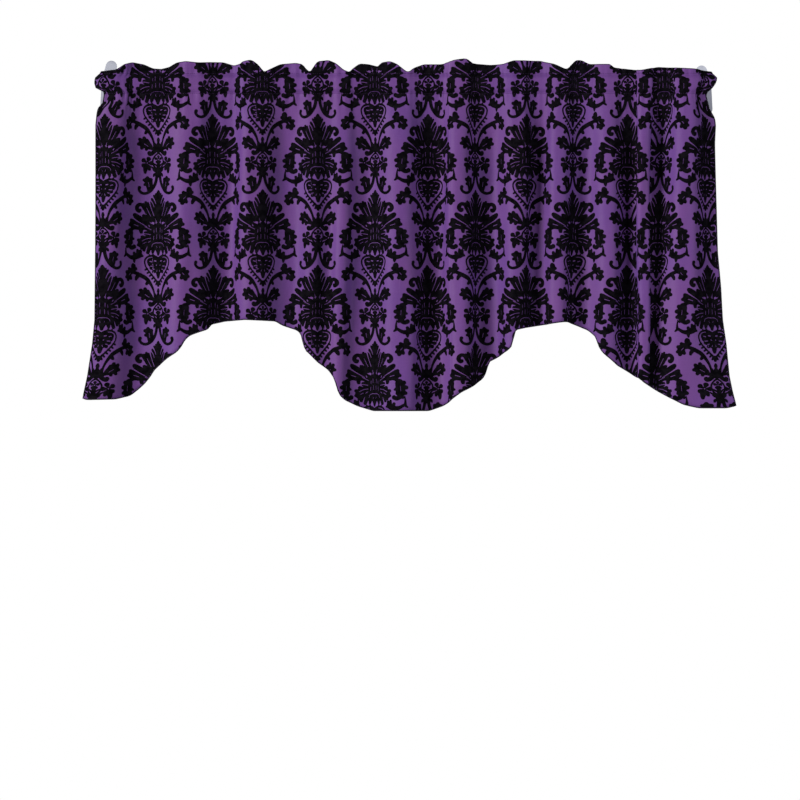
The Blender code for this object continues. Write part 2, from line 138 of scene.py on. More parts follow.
# Depth of the hem below the rod's middle, by position across (millimetres): three scallops,
# with a small step where the hem passes from one fold to the next.
HEM = (
    (-470, 455), (-454, 459), (-419, 458), (-400, 453), (-381, 436), (-370, 422), (-368, 417),
    (-352, 404), (-333, 390), (-325, 380), (-323, 374), (-314, 366), (-295, 359), (-287, 356),
    (-285, 350), (-263, 345), (-234, 343), (-190, 345), (-180, 351), (-159, 358), (-150, 365),
    (-148, 385), (-132, 401), (-113, 416), (-103, 427), (-101, 436), (-100, 449), (-90, 459),
    (-71, 468), (-49, 475), (5, 475), (33, 475), (53, 468), (66, 458), (79, 448), (96, 439),
    (111, 428), (116, 420), (118, 405), (132, 397), (148, 387), (154, 379), (156, 358),
    (181, 353), (227, 346), (235, 346), (247, 351), (263, 358), (276, 369), (279, 381),
    (286, 392), (306, 409), (329, 423), (355, 440), (382, 456), (401, 466), (421, 471),
    (454, 471), (475, 466),
)

# How far the two side edges leave the fold table's end columns, outward positive, by height
# (millimetres): gathered in at the stitch lines, spread at the pocket's mouth and at the tails.
EDGE_SHIFT = (
    # height, left, right
    (-470, 19, 18), (-448, 15, 13), (-425, 10, 9), (-378, 3, 6), (-343, 0, 2), (-295, 0, 1),
    (-245, 0, -2), (-88, 0, -1), (-61, 0, 1), (-51, -1, 0), (-42, -2, -5), (-36, -4, -8),
    (-30, -10, -9), (-19, -12, -12), (-13, -12, -10), (-7, 0, -3), (0, 2, 2), (7, 1, 4),
    (13, -6, -2), (18, -9, -5), (36, -12, -9),
)

# How much of its full depth a fold has at each height, and how far its middle lies from the
# rod's middle, away from the room (millimetres): the pocket gathers the folds flat.
GATHER = (
    # height, share of the depth, middle
    (-600, 1.0, 0.0), (-130, 1.0, 0.0), (-75, 0.82, -1.5), (-40, 0.55, -3.5), (-22, 0.36, -5.0),
    (-12, 0.32, -5.0), (12, 0.32, -4.5), (18, 0.42, -3.0), (36, 0.62, -1.0),
)
print("fold lines:", len(FOLDS), "over", FOLDS[-1][0], "mm of cloth")

# %% [markdown]
# ## From tables to folds
#
# A flank is a short curve in plan whose slope rises, holds and falls again. Its steepest slope is
# looked up so that the curve's width across comes out right for its length of cloth. Adding up the
# cosines of the slope gives the way across, and the sines give the depth.

# %% Fold plan
def curve_through(table, column, places):
    """A rounded line through a table's points: the piecewise line averaged over a short window."""
    rows = np.array(table, float) * MM
    shifts = np.linspace(*CURVE_WINDOW)
    values = [np.interp(places + shift, rows[:, 0], rows[:, column]) for shift in shifts]
    return np.mean(values, axis=0)


def flank_shape(share):
    """How a flank's slope grows and fades between two fold lines: a plateau with soft ends."""
    rising = np.clip(share / FLANK_RISE, 0, 1)
    fading = np.clip((1 - share) / FLANK_RISE, 0, 1)
    return rising ** 2 * (3 - 2 * rising) * fading ** 2 * (3 - 2 * fading)


def slope_for(width_ratio):
    """The steepest slope of a flank whose width across is this share of its cloth."""
    slopes = np.linspace(0, STEEPEST_SLOPE, SLOPE_STEPS + 1)
    share = np.linspace(0, 1, SLOPE_STEPS + 1)
    ratios = np.cos(slopes[:, None] * flank_shape(share)).mean(axis=1)
    return np.interp(-width_ratio, -ratios, slopes)


def fold_plan(fall, cloth):
    """Plan of the folds at one height: positions across and depth for each cloth position.

    fall is 0 at the heading and 1 at LOW_LEVEL. The cloth keeps its length: each flank turns
    until its width fits, so narrow flanks stand deep. A slow drift of the depth is taken out.
    """
    head_cloth, head_across, low_cloth, low_across = np.array(FOLDS, float).T * MM
    line_cloth = head_cloth + (low_cloth - head_cloth) * fall
    line_across = head_across + (low_across - head_across) * fall
    slopes = slope_for(np.diff(line_across) / np.diff(line_cloth))
    slopes[0::2] *= -1
    flank = np.clip(np.searchsorted(line_cloth, cloth, side="right") - 1, 0, len(slopes) - 1)
    share = (cloth - line_cloth[flank]) / np.diff(line_cloth)[flank]
    slope = slopes[flank] * flank_shape(share)
    step = np.gradient(cloth)
    across = np.cumsum(np.cos(slope) * step)
    across += line_across[0] - across[0]
    across += np.interp(cloth, line_cloth, line_across - np.interp(line_cloth, cloth, across))
    depth = np.cumsum(np.sin(slope) * step)
    at_lines = np.interp(line_cloth, cloth, depth)
    middles = (line_cloth[1:] + line_cloth[:-1]) / 2
    drift = np.interp(cloth, middles, (at_lines[1:] + at_lines[:-1]) / 2)
    window = np.hanning(2 * DRIFT_STEPS + 1)
    padded = np.pad(drift, DRIFT_STEPS, mode="edge")
    return across, depth - np.convolve(padded, window / window.sum(), mode="valid")


class FoldField:
    """The folded cloth's plan at every height, read by cloth position and height."""

    def __init__(self):
        width = FOLDS[-1][0] * MM
        self.cloth = np.linspace(0, width, round(width / PLAN_STEP) + 1)
        self.falls = np.linspace(0, DEEPEST_FALL, PLAN_LEVELS)
        plans = [fold_plan(fall, self.cloth) for fall in self.falls]
        self.across = np.array([plan[0] for plan in plans])
        self.depth = np.array([plan[1] for plan in plans])

    def at(self, cloth, height):
        """Across, depth and the unit normal towards the room at cloth positions and heights."""
        fall = np.clip((height - LOWER_STITCH) / (LOW_LEVEL - LOWER_STITCH), 0, self.falls[-1])
        row = np.clip(np.searchsorted(self.falls, fall) - 1, 0, len(self.falls) - 2)
        blend = (fall - self.falls[row]) / (self.falls[1] - self.falls[0])

        def read(field, places):
            column = np.clip(places / PLAN_STEP, 0, len(self.cloth) - 1)
            left = np.minimum(column.astype(int), len(self.cloth) - 2)
            part = column - left
            upper = field[row, left] * (1 - part) + field[row, left + 1] * part
            lower = field[row + 1, left] * (1 - part) + field[row + 1, left + 1] * part
            return upper * (1 - blend) + lower * blend

        heights, shares, middles = np.array(GATHER, float).T
        share = np.interp(height, heights * MM, shares)
        middle = np.interp(height, heights * MM, middles * MM)
        across = read(self.across, cloth)
        depth = read(self.depth, cloth) * share
        before, after = cloth - NORMAL_REACH, cloth + NORMAL_REACH
        along_x = read(self.across, after) - read(self.across, before)
        along_y = (read(self.depth, after) - read(self.depth, before)) * share
        length = np.hypot(along_x, along_y)
        across = across + edge_shift(cloth, height)
        return across, depth + middle, along_y / length, -along_x / length


def edge_shift(cloth, height):
    """Sideways shift of the cloth near its two side edges."""
    heights, left, right = np.array(EDGE_SHIFT, float).T * MM
    from_left = cloth / EDGE_SHIFT_REACH
    from_right = (FOLDS[-1][0] * MM - cloth) / EDGE_SHIFT_REACH
    pull_left = np.interp(height, heights, left) * np.exp(-from_left ** 2)
    pull_right = np.interp(height, heights, right) * np.exp(-from_right ** 2)
    return pull_right - pull_left


def soft_max(first, second):
    """The larger of two values, with the corner between them rounded."""
    return (first + second + np.sqrt((first - second) ** 2 + LAYER_SOFTNESS ** 2)) / 2


def layer_point(field, cloth, height, side, offset):
    """A point of a layer of the pocket, offset from the layer's middle towards the room.

    side is -1 for the front layer and +1 for the back one. A layer follows the fold where the
    fold stands clear of the rod, and otherwise lies against the rod's face.
    """
    across, wave, _, _ = field.at(cloth, height)
    depth = side * soft_max(side * wave + POCKET_PART, POCKET_HALF_DEPTH)
    if side < 0:
        past_corner = np.maximum(np.abs(across) - MOUTH_CORNER, 0)
        depth += past_corner ** 2 / (2 * MOUTH_BEND_RADIUS)
    else:
        excess = np.maximum(np.abs(across) - BACK_LAYER_CROWDS, 0)
        room = BACK_LAYER_LIMIT - BACK_LAYER_CROWDS
        crowded = BACK_LAYER_CROWDS + room * (1 - np.exp(-excess / room))
        across = np.where(excess > 0, np.sign(across) * crowded, across)
    return np.stack([across, depth - offset, height], axis=-1)


def sheet_point(field, cloth, height, offset):
    """A point of the single sheet, or of the ruffle, offset along its normal to the room."""
    across, depth, normal_x, normal_y = field.at(cloth, height)
    return np.stack([across + normal_x * offset, depth + normal_y * offset, height], axis=-1)


folds = FoldField()
print("fold depth, mm:", round(float(np.ptp(folds.depth)) / MM, 1))

# %% [markdown]
# ## One thin sheet, sewn to itself
#
# The cloth is a single strip. It starts at the hem, climbs the front as the panel, passes in front
# of the rod, stands above it as the ruffle, turns over and comes down behind the rod, where its
# raw end is sewn to the panel. It could be made as two sheets and a seam, but one strip is what a
# sewer has in hand, and it has one set of flat measurements: `cloth` along its width and `climb`
# along its length. Everything that is printed or sewn on the cloth uses these two numbers.
#
# Each layer lies on the fold field, moved along its normal by half its distance to the other
# layer, and inside the pocket the two part and lie against the rod. Small ripples are added:
# puckers beside the two stitch lines, where a gathered cloth is held shorter than it is, and
# faint slack waves lower down.

# %% Puckers and slack waves
PUCKERS = 6
PUCKER_SHORTEST = 0.008        # wavelengths
PUCKER_LONGEST = 0.021
PUCKER_DEEP = 0.0011
PUCKER_FADE = 0.018            # they fade to about a third over this from a stitch line
PUCKER_LEAN = 14.0             # how far a pucker's phase drifts, radians per metre of height
WAVES = 5
WAVE_SHORTEST = 0.045
WAVE_LONGEST = 0.130
WAVE_DEEP = 0.0017
WAVE_GROWS = 0.09              # they reach their full depth this far below the stitches
WAVE_LEAN = 22.0


def ripple_set(count, shortest, longest, lean):
    """Random ripples: one row each of (radians per metre, phase, lean)."""
    lengths = np.geomspace(shortest, longest, count)
    leans = random.uniform(-lean, lean, count)
    return np.stack([2 * math.pi / lengths, random.uniform(0, 2 * math.pi, count), leans], axis=1)


pucker_set = ripple_set(PUCKERS, PUCKER_SHORTEST, PUCKER_LONGEST, PUCKER_LEAN)
wave_set = ripple_set(WAVES, WAVE_SHORTEST, WAVE_LONGEST, WAVE_LEAN)


def ripples(rows, cloth, height):
    """The sum of cos(waves x cloth + lean x height + phase) over the root of their number."""
    total = np.zeros(np.broadcast(cloth, height).shape)
    for waves, phase, lean in rows:
        total += np.cos(waves * cloth + lean * height + phase)
    return total / math.sqrt(len(rows))


def smooth(share):
    """0 to 1 with soft ends: 3 s^2 - 2 s^3."""
    share = np.clip(share, 0, 1)
    return share ** 2 * (3 - 2 * share)


def stray(cloth, height):
    """How far the cloth stands off its smooth fold: puckers by the stitch lines, waves below."""
    from_stitches = np.minimum(np.abs(height - UPPER_STITCH), np.abs(height - LOWER_STITCH))
    near = np.exp(-from_stitches / PUCKER_FADE)
    low = smooth((LOWER_STITCH - height) / WAVE_GROWS)
    return (PUCKER_DEEP * near * ripples(pucker_set, cloth, height)
            + WAVE_DEEP * low * ripples(wave_set, cloth, height))


# %% Points of the folded sheet
SHEET_THICK = 0.0006
STITCHED = 0.00036             # middle of a layer to the stitched seam between two layers
RUFFLE_PART = 0.0012           # the same in the ruffle, where air lies between the layers
RUFFLE_PARTS_BY = 0.7          # share of the ruffle's height over which they part
PART_OVER = (0.0065, 0.0036)   # the pocket's front and back open over this from a stitch line
POCKET_CALM = 3                # an open layer of the pocket strays this many times less


def single_sheet(cloth, height, offset):
    """sheet_point with the puckers added to the offset, moved from the rod to the wall's frame."""
    point = sheet_point(folds, cloth, height, offset + stray(cloth, height))
    point[..., 1] -= ROD_REACH
    return point


def pocket_layer(cloth, height, side):
    """One layer of the pocket: the stitched sheet near the stitch lines, the rod's face between."""
    sewn = single_sheet(cloth, height, -side * STITCHED)
    open_layer = layer_point(folds, cloth, height, side, stray(cloth, height) / POCKET_CALM)
    open_layer[..., 1] -= ROD_REACH
    from_stitch = np.minimum(height - LOWER_STITCH, UPPER_STITCH - height)
    share = smooth(from_stitch / PART_OVER[side > 0])[..., None]
    return sewn * (1 - share) + open_layer * share


def ruffle_layer(cloth, share, top, side):
    """Points and heights of a ruffle's layer at a share of its height; the layers part softly."""
    height = UPPER_STITCH + (top - UPPER_STITCH) * share
    part = STITCHED + (RUFFLE_PART - STITCHED) * smooth(share / RUFFLE_PARTS_BY)
    return single_sheet(cloth, height, -side * part), height


# %% The strip's rows and columns
COLUMN_STEP = 0.0031
PLEAT_COLUMNS = (0.925, 1.060, 0.0019)     # from, to and step across the one tight pleat
PANEL_ROWS = 80
ROWS_CROWD = 1.25              # above 1 the panel's rows crowd towards the heading
POCKET_ROWS = 11
RUFFLE_ROWS = 6
TURN_ROWS = 5
SEAM_REACHED = 0.012           # the panel moves to its side of the seam over this
ALLOWANCE = (0.003, 0.008)     # seam allowance below the lower stitch line, behind the panel
ALLOWANCE_SPREAD = 12          # it stands off by one part in this of its drop

cloth_width = FOLDS[-1][0] * MM
start, stop, step = PLEAT_COLUMNS
columns = np.concatenate([
    np.linspace(0, start, round(start / COLUMN_STEP), endpoint=False),
    np.linspace(start, stop, round((stop - start) / step), endpoint=False),
    np.linspace(stop, cloth_width, round((cloth_width - stop) / COLUMN_STEP) + 1),
])
level = np.ones_like(columns)
hem_line = -curve_through(HEM, 1, folds.at(columns, LOW_LEVEL * level)[0])
turn_line = curve_through(RUFFLE_TOP, 1, folds.at(columns, UPPER_STITCH * level)[0])
turn_line -= RUFFLE_PART / 2

rows = []                      # for each row its points, (column, xyz), and climbs, (column,)
for share in np.linspace(1, 0, PANEL_ROWS, endpoint=False) ** ROWS_CROWD:
    height = LOWER_STITCH + (hem_line - LOWER_STITCH) * share
    forward = STITCHED * smooth(1 - (LOWER_STITCH - height) / SEAM_REACHED)
    rows.append((single_sheet(columns, height, forward), height))
for height in np.linspace(LOWER_STITCH, UPPER_STITCH, POCKET_ROWS):
    rows.append((pocket_layer(columns, height * level, -1), height * level))
for share in np.linspace(0, 1, RUFFLE_ROWS + 1)[1:]:
    rows.append(ruffle_layer(columns, share, turn_line, -1))
for turn in np.linspace(0, math.pi, TURN_ROWS + 1)[1:]:
    rise = RUFFLE_PART * math.sin(turn)
    place = single_sheet(columns, turn_line + rise, RUFFLE_PART * math.cos(turn))
    rows.append((place, turn_line + RUFFLE_PART * turn))
over = 2 * turn_line + RUFFLE_PART * math.pi       # climb = over - height, behind the ruffle
for share in np.linspace(1, 0, RUFFLE_ROWS + 1)[1:]:
    place, height = ruffle_layer(columns, share, turn_line, 1)
    rows.append((place, over - height))
for height in np.linspace(UPPER_STITCH, LOWER_STITCH, POCKET_ROWS)[1:]:
    rows.append((pocket_layer(columns, height * level, 1), over - height * level))
for drop in ALLOWANCE:
    height = (LOWER_STITCH - drop) * level
    place = single_sheet(columns, height, -2 * STITCHED - drop / ALLOWANCE_SPREAD)
    rows.append((place, over - height))
places, climbs = (np.array(part) for part in zip(*rows))
print("cloth strip:", places.shape[0], "rows x", places.shape[1], "columns")


# %% [markdown]
# ## Giving the sheet its two faces
#
# The strip is a surface without thickness, so it gets one: every point is moved half a thickness
# along its normal to both sides, and a narrow band closes the rim. A Solidify modifier would do
# the same, but here the normals are needed anyway, to lay the flock and the thread on the cloth.
# The flat measurements go in as a UV map, in metres, so that the weave follows the threads.

# %% Sheet into mesh
def grid_normals(points):
    """Unit normals of a grid: the way along its columns crossed with the way up its rows."""
    up = np.gradient(points, axis=0)
    along = np.gradient(points, axis=1)
    normals = np.cross(along, up)
    return normals / np.linalg.norm(normals, axis=-1, keepdims=True)


def grid_faces(rows, count):
    """Quads of a grid of points counted row by row."""
    low = np.arange(rows - 1)[:, None] * count + np.arange(count - 1)[None, :]
    return np.stack([low, low + 1, low + count + 1, low + count], axis=-1).reshape(-1, 4)


def rim_faces(loop, lift):
    """Quads between a closed line of point numbers and the same line lift numbers on."""
    after = np.roll(loop, -1)
    return np.stack([after, loop, loop + lift, after + lift], axis=-1)


def add_piece(name, points, faces, material):
    """A mesh object at the origin from arrays of points and faces, shaded smooth."""
    mesh = bpy.data.meshes.new(name)
    mesh.from_pydata(np.asarray(points, float).reshape(-1, 3), [], list(faces))
    mesh.materials.append(material)
    mesh.shade_smooth()
    piece = bpy.data.objects.new(name, mesh)
    bpy.context.collection.objects.link(piece)
    return piece


def give_map(piece, flat):
    """A UV map from one flat (cloth, climb) pair for each point, in metres."""
    mesh = piece.data
    corners = np.empty(len(mesh.loops), np.int32)
    mesh.loops.foreach_get("vertex_index", corners)
    layer = mesh.uv_layers.new(name="flat_cloth")
    layer.data.foreach_set("uv", np.asarray(flat, np.float32)[corners].ravel())


normals = grid_normals(places)
row_count, column_count = climbs.shape
point_count = row_count * column_count
numbers = np.arange(point_count).reshape(row_count, column_count)
rim = np.concatenate([numbers[0, :-1], numbers[:-1, -1], numbers[-1, :0:-1], numbers[:0:-1, 0]])
right_side = grid_faces(row_count, column_count)
cloth_points = np.concatenate([places + normals * SHEET_THICK / 2, places - normals * SHEET_THICK / 2])
cloth_faces = np.concatenate([right_side, right_side[:, ::-1] + point_count, rim_faces(rim, point_count)])
flat_points = np.stack([np.broadcast_to(columns, climbs.shape), climbs], axis=-1).reshape(-1, 2)
print("cloth:", 2 * len(cloth_faces), "triangles")

# %% [markdown]
# ## Shared finishes
#
# Three effects are node groups, so that any material can use them: the **weave** of a plain
# cloth, seen as fine threads with now and then a thicker one, the **pile** of a flocked print,
# and the **marks** of painted steel, which both enamels use. Groups put out only masks and
# heights. Each material keeps its own shader and decides what to do with them.

# %% Node helpers
def new_group(name, inputs, outputs):
    """An empty shader group with float inputs {name: default}, a Vector input and float outputs."""
    group = bpy.data.node_groups.new(name, "ShaderNodeTree")
    group.interface.new_socket("Vector", in_out="INPUT", socket_type="NodeSocketVector")
    for label, value in inputs.items():
        socket = group.interface.new_socket(label, in_out="INPUT", socket_type="NodeSocketFloat")
        socket.default_value = value
    for label in outputs:
        group.interface.new_socket(label, in_out="OUTPUT", socket_type="NodeSocketFloat")
    return group, group.nodes.new("NodeGroupInput"), group.nodes.new("NodeGroupOutput")


def set_inputs(tree, node, inputs):
    """Give a node's inputs, {socket: value}: each value is plain, or a socket to link."""
    for place, value in inputs.items():
        if isinstance(value, bpy.types.NodeSocket):
            tree.links.new(value, node.inputs[place])
        else:
            node.inputs[place].default_value = value


def add_node(tree, kind, inputs, **settings):
    """A new shader node of a kind, with its settings and then its inputs."""
    node = tree.nodes.new("ShaderNode" + kind)
    for label, value in settings.items():
        setattr(node, label, value)
    set_inputs(tree, node, inputs)
    return node


def math_node(tree, operation, *values):
    """A Math node whose inputs are sockets or plain numbers; returns its output socket."""
    return add_node(tree, "Math", dict(enumerate(values)), operation=operation).outputs[0]


def scaled(tree, vector, scale):
    """A vector multiplied part by part by a fixed (x, y, z)."""
    return add_node(tree, "VectorMath", {0: vector, 1: scale}, operation="MULTIPLY").outputs[0]


def noise(tree, vector, scale, detail=2.0, roughness=0.5):
    """A Noise Texture read at a vector; returns its Fac socket."""
    return add_node(tree, "TexNoise", {"Vector": vector, "Scale": scale, "Detail": detail,
                                       "Roughness": roughness}).outputs[0]


def between(tree, value, low, high):
    """A smooth step of a value from 0 at low to 1 at high."""
    return add_node(tree, "MapRange", {0: value, 1: low, 2: high},
                    interpolation_type="SMOOTHSTEP").outputs[0]


def mixed(tree, share, first, second):
    """A colour between two by a socket's share: each colour is a socket or an (r, g, b)."""
    first, second = (value if isinstance(value, bpy.types.NodeSocket) else (*value, 1)
                     for value in (first, second))
    return add_node(tree, "Mix", {0: share, 6: first, 7: second}, data_type="RGBA").outputs[2]


def tinted(tree, colour, mask, strength, tone):
    """A colour mixed towards a tone: as far as strength, and where the mask is 1."""
    return mixed(tree, math_node(tree, "MULTIPLY", mask, strength), colour, tone)


def bump(tree, height, strength, distance, **normal):
    """A Bump node on a height, over another Normal if one is given; returns its Normal socket."""
    return add_node(tree, "Bump", {"Height": height, "Strength": strength, "Distance": distance,
                                   **normal}).outputs["Normal"]


def new_material(name):
    """A material with an empty Principled shader; returns (material, tree, shader)."""
    made = bpy.data.materials.new(name)
    made.use_nodes = True
    return made, made.node_tree, made.node_tree.nodes["Principled BSDF"]


def coordinate(tree, kind):
    """The Object or UV socket of a Texture Coordinate node."""
    return add_node(tree, "TexCoord", {}).outputs[kind]


# %% The weave group
WEFT_SLUBS = (22.0, 900.0, 1.0)     # noise cells per metre: long along the thread, thin across it
WARP_SLUBS = (800.0, 16.0, 1.0)
CRUSH_CELLS = (60.0, 42.0, 1.0)     # soft dents from handling


def make_weave():
    """Plain weave on flat-cloth metres: crossed thread waves, slubs both ways, and soft dents."""
    group, given, out = new_group("plain_weave", {"Thread Pitch": 0.00028},
                                  ("Threads", "Slubs", "Crush"))
    flat = given.outputs["Vector"]
    split = add_node(group, "SeparateXYZ", {0: flat})
    turns = math_node(group, "DIVIDE", math.tau / 2, given.outputs["Thread Pitch"])
    warp = math_node(group, "SINE", math_node(group, "MULTIPLY", split.outputs[0], turns))
    weft = math_node(group, "SINE", math_node(group, "MULTIPLY", split.outputs[1], turns))
    crossed = math_node(group, "MULTIPLY", warp, weft)
    long_weft = noise(group, scaled(group, flat, WEFT_SLUBS), 1.0, 3.0)
    long_warp = noise(group, scaled(group, flat, WARP_SLUBS), 1.0, 3.0)
    set_inputs(group, out, {
        "Threads": math_node(group, "MULTIPLY_ADD", crossed, 0.5, 0.5),
        "Slubs": math_node(group, "MAXIMUM", between(group, long_weft, 0.56, 0.78),
                           between(group, long_warp, 0.58, 0.80)),
        "Crush": noise(group, scaled(group, flat, CRUSH_CELLS), 1.0, 4.0, 0.55)})
    return group


weave = make_weave()


# %% The pile group
def make_pile():
    """Flock on flat-cloth metres: short fibres as fine noise, and patches brushed another way."""
    group, given, out = new_group("flock_pile", {"Fibre Scale": 5200.0}, ("Fibres", "Brushed"))
    brushed = noise(group, given.outputs["Vector"], 130.0, 4.0, 0.6)
    set_inputs(group, out, {
        "Fibres": noise(group, given.outputs["Vector"], given.outputs["Fibre Scale"]),
        "Brushed": between(group, brushed, 0.35, 0.68)})
    return group


pile = make_pile()


# %% The paint marks group
def make_paint_marks():
    """Painted steel in metres: fine orange peel, dusty patches and darker edges by Pointiness."""
    group, given, out = new_group("paint_marks_group", {"Patch Scale": 60.0}, ("Peel", "Dust", "Darker Edges"))
    patches = noise(group, given.outputs["Vector"], given.outputs["Patch Scale"], 5.0)
    edge = add_node(group, "NewGeometry", {}).outputs["Pointiness"]
    set_inputs(group, out, {
        "Peel": noise(group, given.outputs["Vector"], 900.0),
        "Dust": between(group, patches, 0.45, 0.75),
        # the last output darkens convex edges, in noise patches
        "Darker Edges": math_node(group, "MULTIPLY", between(group, edge, 0.53, 0.60), patches)})
    return group


paint_marks = make_paint_marks()
print("groups:", [group.name for group in bpy.data.node_groups])

# %% [markdown]
# ## Shot taffeta
#
# Taffeta is a tight plain weave of smooth yarn. Here the warp and the weft differ a little: "shot"
# cloth. Its shine is broad and soft. The colour is mixed in broad patches between red violet and
# blue violet, and a painted sheen turns it bluer and darker where the cloth turns away from the eye,
# as shot cloth turns when its folds turn. A thin painted highlight runs down one packet crease. The
# threads lie a third of a millimetre apart, so they are a bump and a faint change of colour, and
# the slubs are short thicker threads.

# %% Taffeta material
RED_VIOLET = (0.198, 0.074, 0.300)
BLUE_VIOLET = (0.176, 0.068, 0.308)
SLUB_TONE = (0.260, 0.120, 0.42)
THREAD_TONE = (0.120, 0.040, 0.225)
# painted sheen: a bluer, darker violet, mixed in where the cloth turns away from the eye
PAINTED_SHEEN_TONE = (0.120, 0.072, 0.340)     # seen where the cloth turns away from the eye
# painted highlight: a lighter violet down the packet crease at CREASE_AT, CREASE_HALF to each side
CREASE_HIGHLIGHT_TONE = (0.300, 0.170, 0.450)
CREASE_AT = 0.612              # a sharp upright crease, where the cloth lay folded in its packet
CREASE_HALF = 0.0009

taffeta, tree, shader = new_material("violet_taffeta")
flat_uv = coordinate(tree, "UV")
woven = add_node(tree, "Group", {"Vector": flat_uv, "Thread Pitch": 0.00032}, node_tree=weave)
patchy = noise(tree, flat_uv, 9.0, 3.0)
# painted sheen: the Layer Weight facing mask, high where the cloth turns away from the eye
sheen_facing = add_node(tree, "LayerWeight", {"Blend": 0.30}).outputs["Facing"]
# painted highlight: a thin lighter line where the flat cloth lies within CREASE_HALF of CREASE_AT
cloth_place = add_node(tree, "SeparateXYZ", {0: flat_uv}).outputs["X"]
from_crease = math_node(tree, "ABSOLUTE", math_node(tree, "SUBTRACT", cloth_place, CREASE_AT))
crease_highlight = between(tree, from_crease, CREASE_HALF, 0.0)
colour = mixed(tree, between(tree, patchy, 0.3, 0.7), BLUE_VIOLET, RED_VIOLET)
# slubs and threads are the weave's own colour; the facing mask paints a sheen, the crease mask a
# highlight
for mask, strength, tone in ((woven.outputs["Slubs"], 0.30, SLUB_TONE),
                             (woven.outputs["Threads"], 0.18, THREAD_TONE),
                             (sheen_facing, 0.40, PAINTED_SHEEN_TONE),
                             (crease_highlight, 0.35, CREASE_HIGHLIGHT_TONE)):
    colour = tinted(tree, colour, mask, strength, tone)
relief = math_node(tree, "MULTIPLY_ADD", woven.outputs["Slubs"], 0.6, woven.outputs["Threads"])
fine = bump(tree, relief, 0.35, 0.00006)
set_inputs(tree, shader, {
    "Base Color": colour,
    "Roughness": math_node(tree, "MULTIPLY_ADD", woven.outputs["Crush"], 0.16, 0.50),
    "Specular IOR Level": 0.22,
    "Sheen Weight": 0.15,
    "Sheen Roughness": 0.40,
    "Sheen Tint": (0.72, 0.62, 1.0, 1),
    "Normal": bump(tree, woven.outputs["Crush"], 0.30, 0.0035, Normal=fine)})

cloth = add_piece("taffeta_sheet", cloth_points, cloth_faces.tolist(), taffeta)
give_map(cloth, np.concatenate([flat_points, flat_points]))
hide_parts("valance_cloth")
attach(cloth, "root")
print("taffeta sheet:", len(cloth.data.polygons), "faces")

# %% [markdown]
# ## The damask, charted stroke by stroke
#
# The print is a traditional damask: palmettes, scrolled leaves, a heart-shaped cartouche, oak
# leaves and small blossoms, set out about an upright axis and repeated in half drop. It could be
# an image, but an image can't be flocked. Instead each leaf is a **brush stroke**: a few points
# with a half-width each, in millimetres from the axis (`across`) and from the palmette's tip
# (`down`). Only the right half is charted, because the ornament is symmetrical.

# %% Palmette and scrolled leaves
# points of (across, down, half-width), millimetres
PLUME = (
    ((0, 50, 3.4), (0, 44, 4.2), (0, 37, 6.6), (0, 30, 9.0), (0, 23, 9.8), (0, 17, 7.6), (0, 11, 5.0),
     (0, 6, 3.8), (0, 2.0, 1.6)),
    ((2, 12, 3.0), (4.4, 6.6, 1.7)),
    ((3, 17, 3.4), (5.8, 12.0, 2.7), (7.4, 8.8, 1.6)),
    ((6, 21, 3.4), (8.8, 16.4, 2.7), (10.4, 13.4, 1.6)),
    ((7.6, 26, 3.2), (10.4, 21.6, 2.6), (12.0, 18.6, 1.7)),
)
FROND = (
    ((6.6, 47, 2.4), (9.8, 41, 4.4), (13.2, 34, 6.2), (16.2, 28, 6.6), (19, 24.6, 5.2)),
    ((18.8, 25, 3.8), (22.6, 21.2, 2.2)),
    ((16.6, 25, 3.4), (19.2, 18.6, 2.2)),
    ((14.6, 27, 3.0), (15.6, 19.6, 1.9)),
    ((9, 46, 2.8), (13.6, 43, 4.3), (18.6, 39.8, 4.0), (22.4, 38.0, 2.6)),
    ((20.6, 27, 3.8), (23.6, 23.0, 3.0), (27.8, 21.6, 2.8), (31.4, 24.0, 3.1), (32.0, 27.6, 3.5),
     (29.6, 30.0, 3.9), (28.2, 29.6, 3.5)),
)
WING = (
    ((13, 52, 3.0), (19, 48.6, 4.0), (26, 44.0, 4.5), (32.4, 39.8, 4.4), (35.8, 37.0, 3.2)),
    ((15, 58, 3.6), (22, 55.6, 4.8), (29.6, 52.6, 6.4), (36.0, 50.6, 7.4), (38.6, 50.0, 6.8)),
    ((37.6, 47, 4.2), (41.6, 44.6, 2.9)),
    ((40.6, 50.6, 4.2), (44.8, 51.2, 2.7)),
    ((37.4, 54.6, 4.0), (40.0, 57.8, 2.5)),
    ((24.4, 56, 3.0), (26.2, 59.4, 3.2), (25.8, 62.6, 2.3)),
)
FAN = (
    ((0, 66, 8.6), (0, 58, 9.0)),
    ((6, 67.6, 5.8), (13, 65.4, 5.4), (18.4, 63.4, 4.0)),
    ((6, 63, 5.6), (12, 59.4, 5.2), (16.4, 56.8, 3.4)),
    ((5, 60, 4.8), (8.4, 55.2, 4.2), (11.2, 51.8, 2.4)),
    ((1, 60, 3.6), (4.0, 53.6, 3.2), (5.4, 50.8, 2.1)),
    ((0, 60, 3.4), (0, 50.0, 2.4)),
)
SIDE_LEAF = (
    ((8, 74, 4.0), (14.6, 73.6, 5.6), (20.6, 74.2, 6.6), (25, 77.0, 6.0), (26.6, 80, 4.6)),
    ((20, 71.6, 4.2), (24.2, 69.0, 2.9)),
    ((26, 74.8, 3.8), (30.0, 73.4, 2.6)),
    ((27, 79.4, 3.4), (30.4, 80.4, 2.3)),
    ((24.6, 81, 3.4), (25.6, 85.2, 2.4)),
)

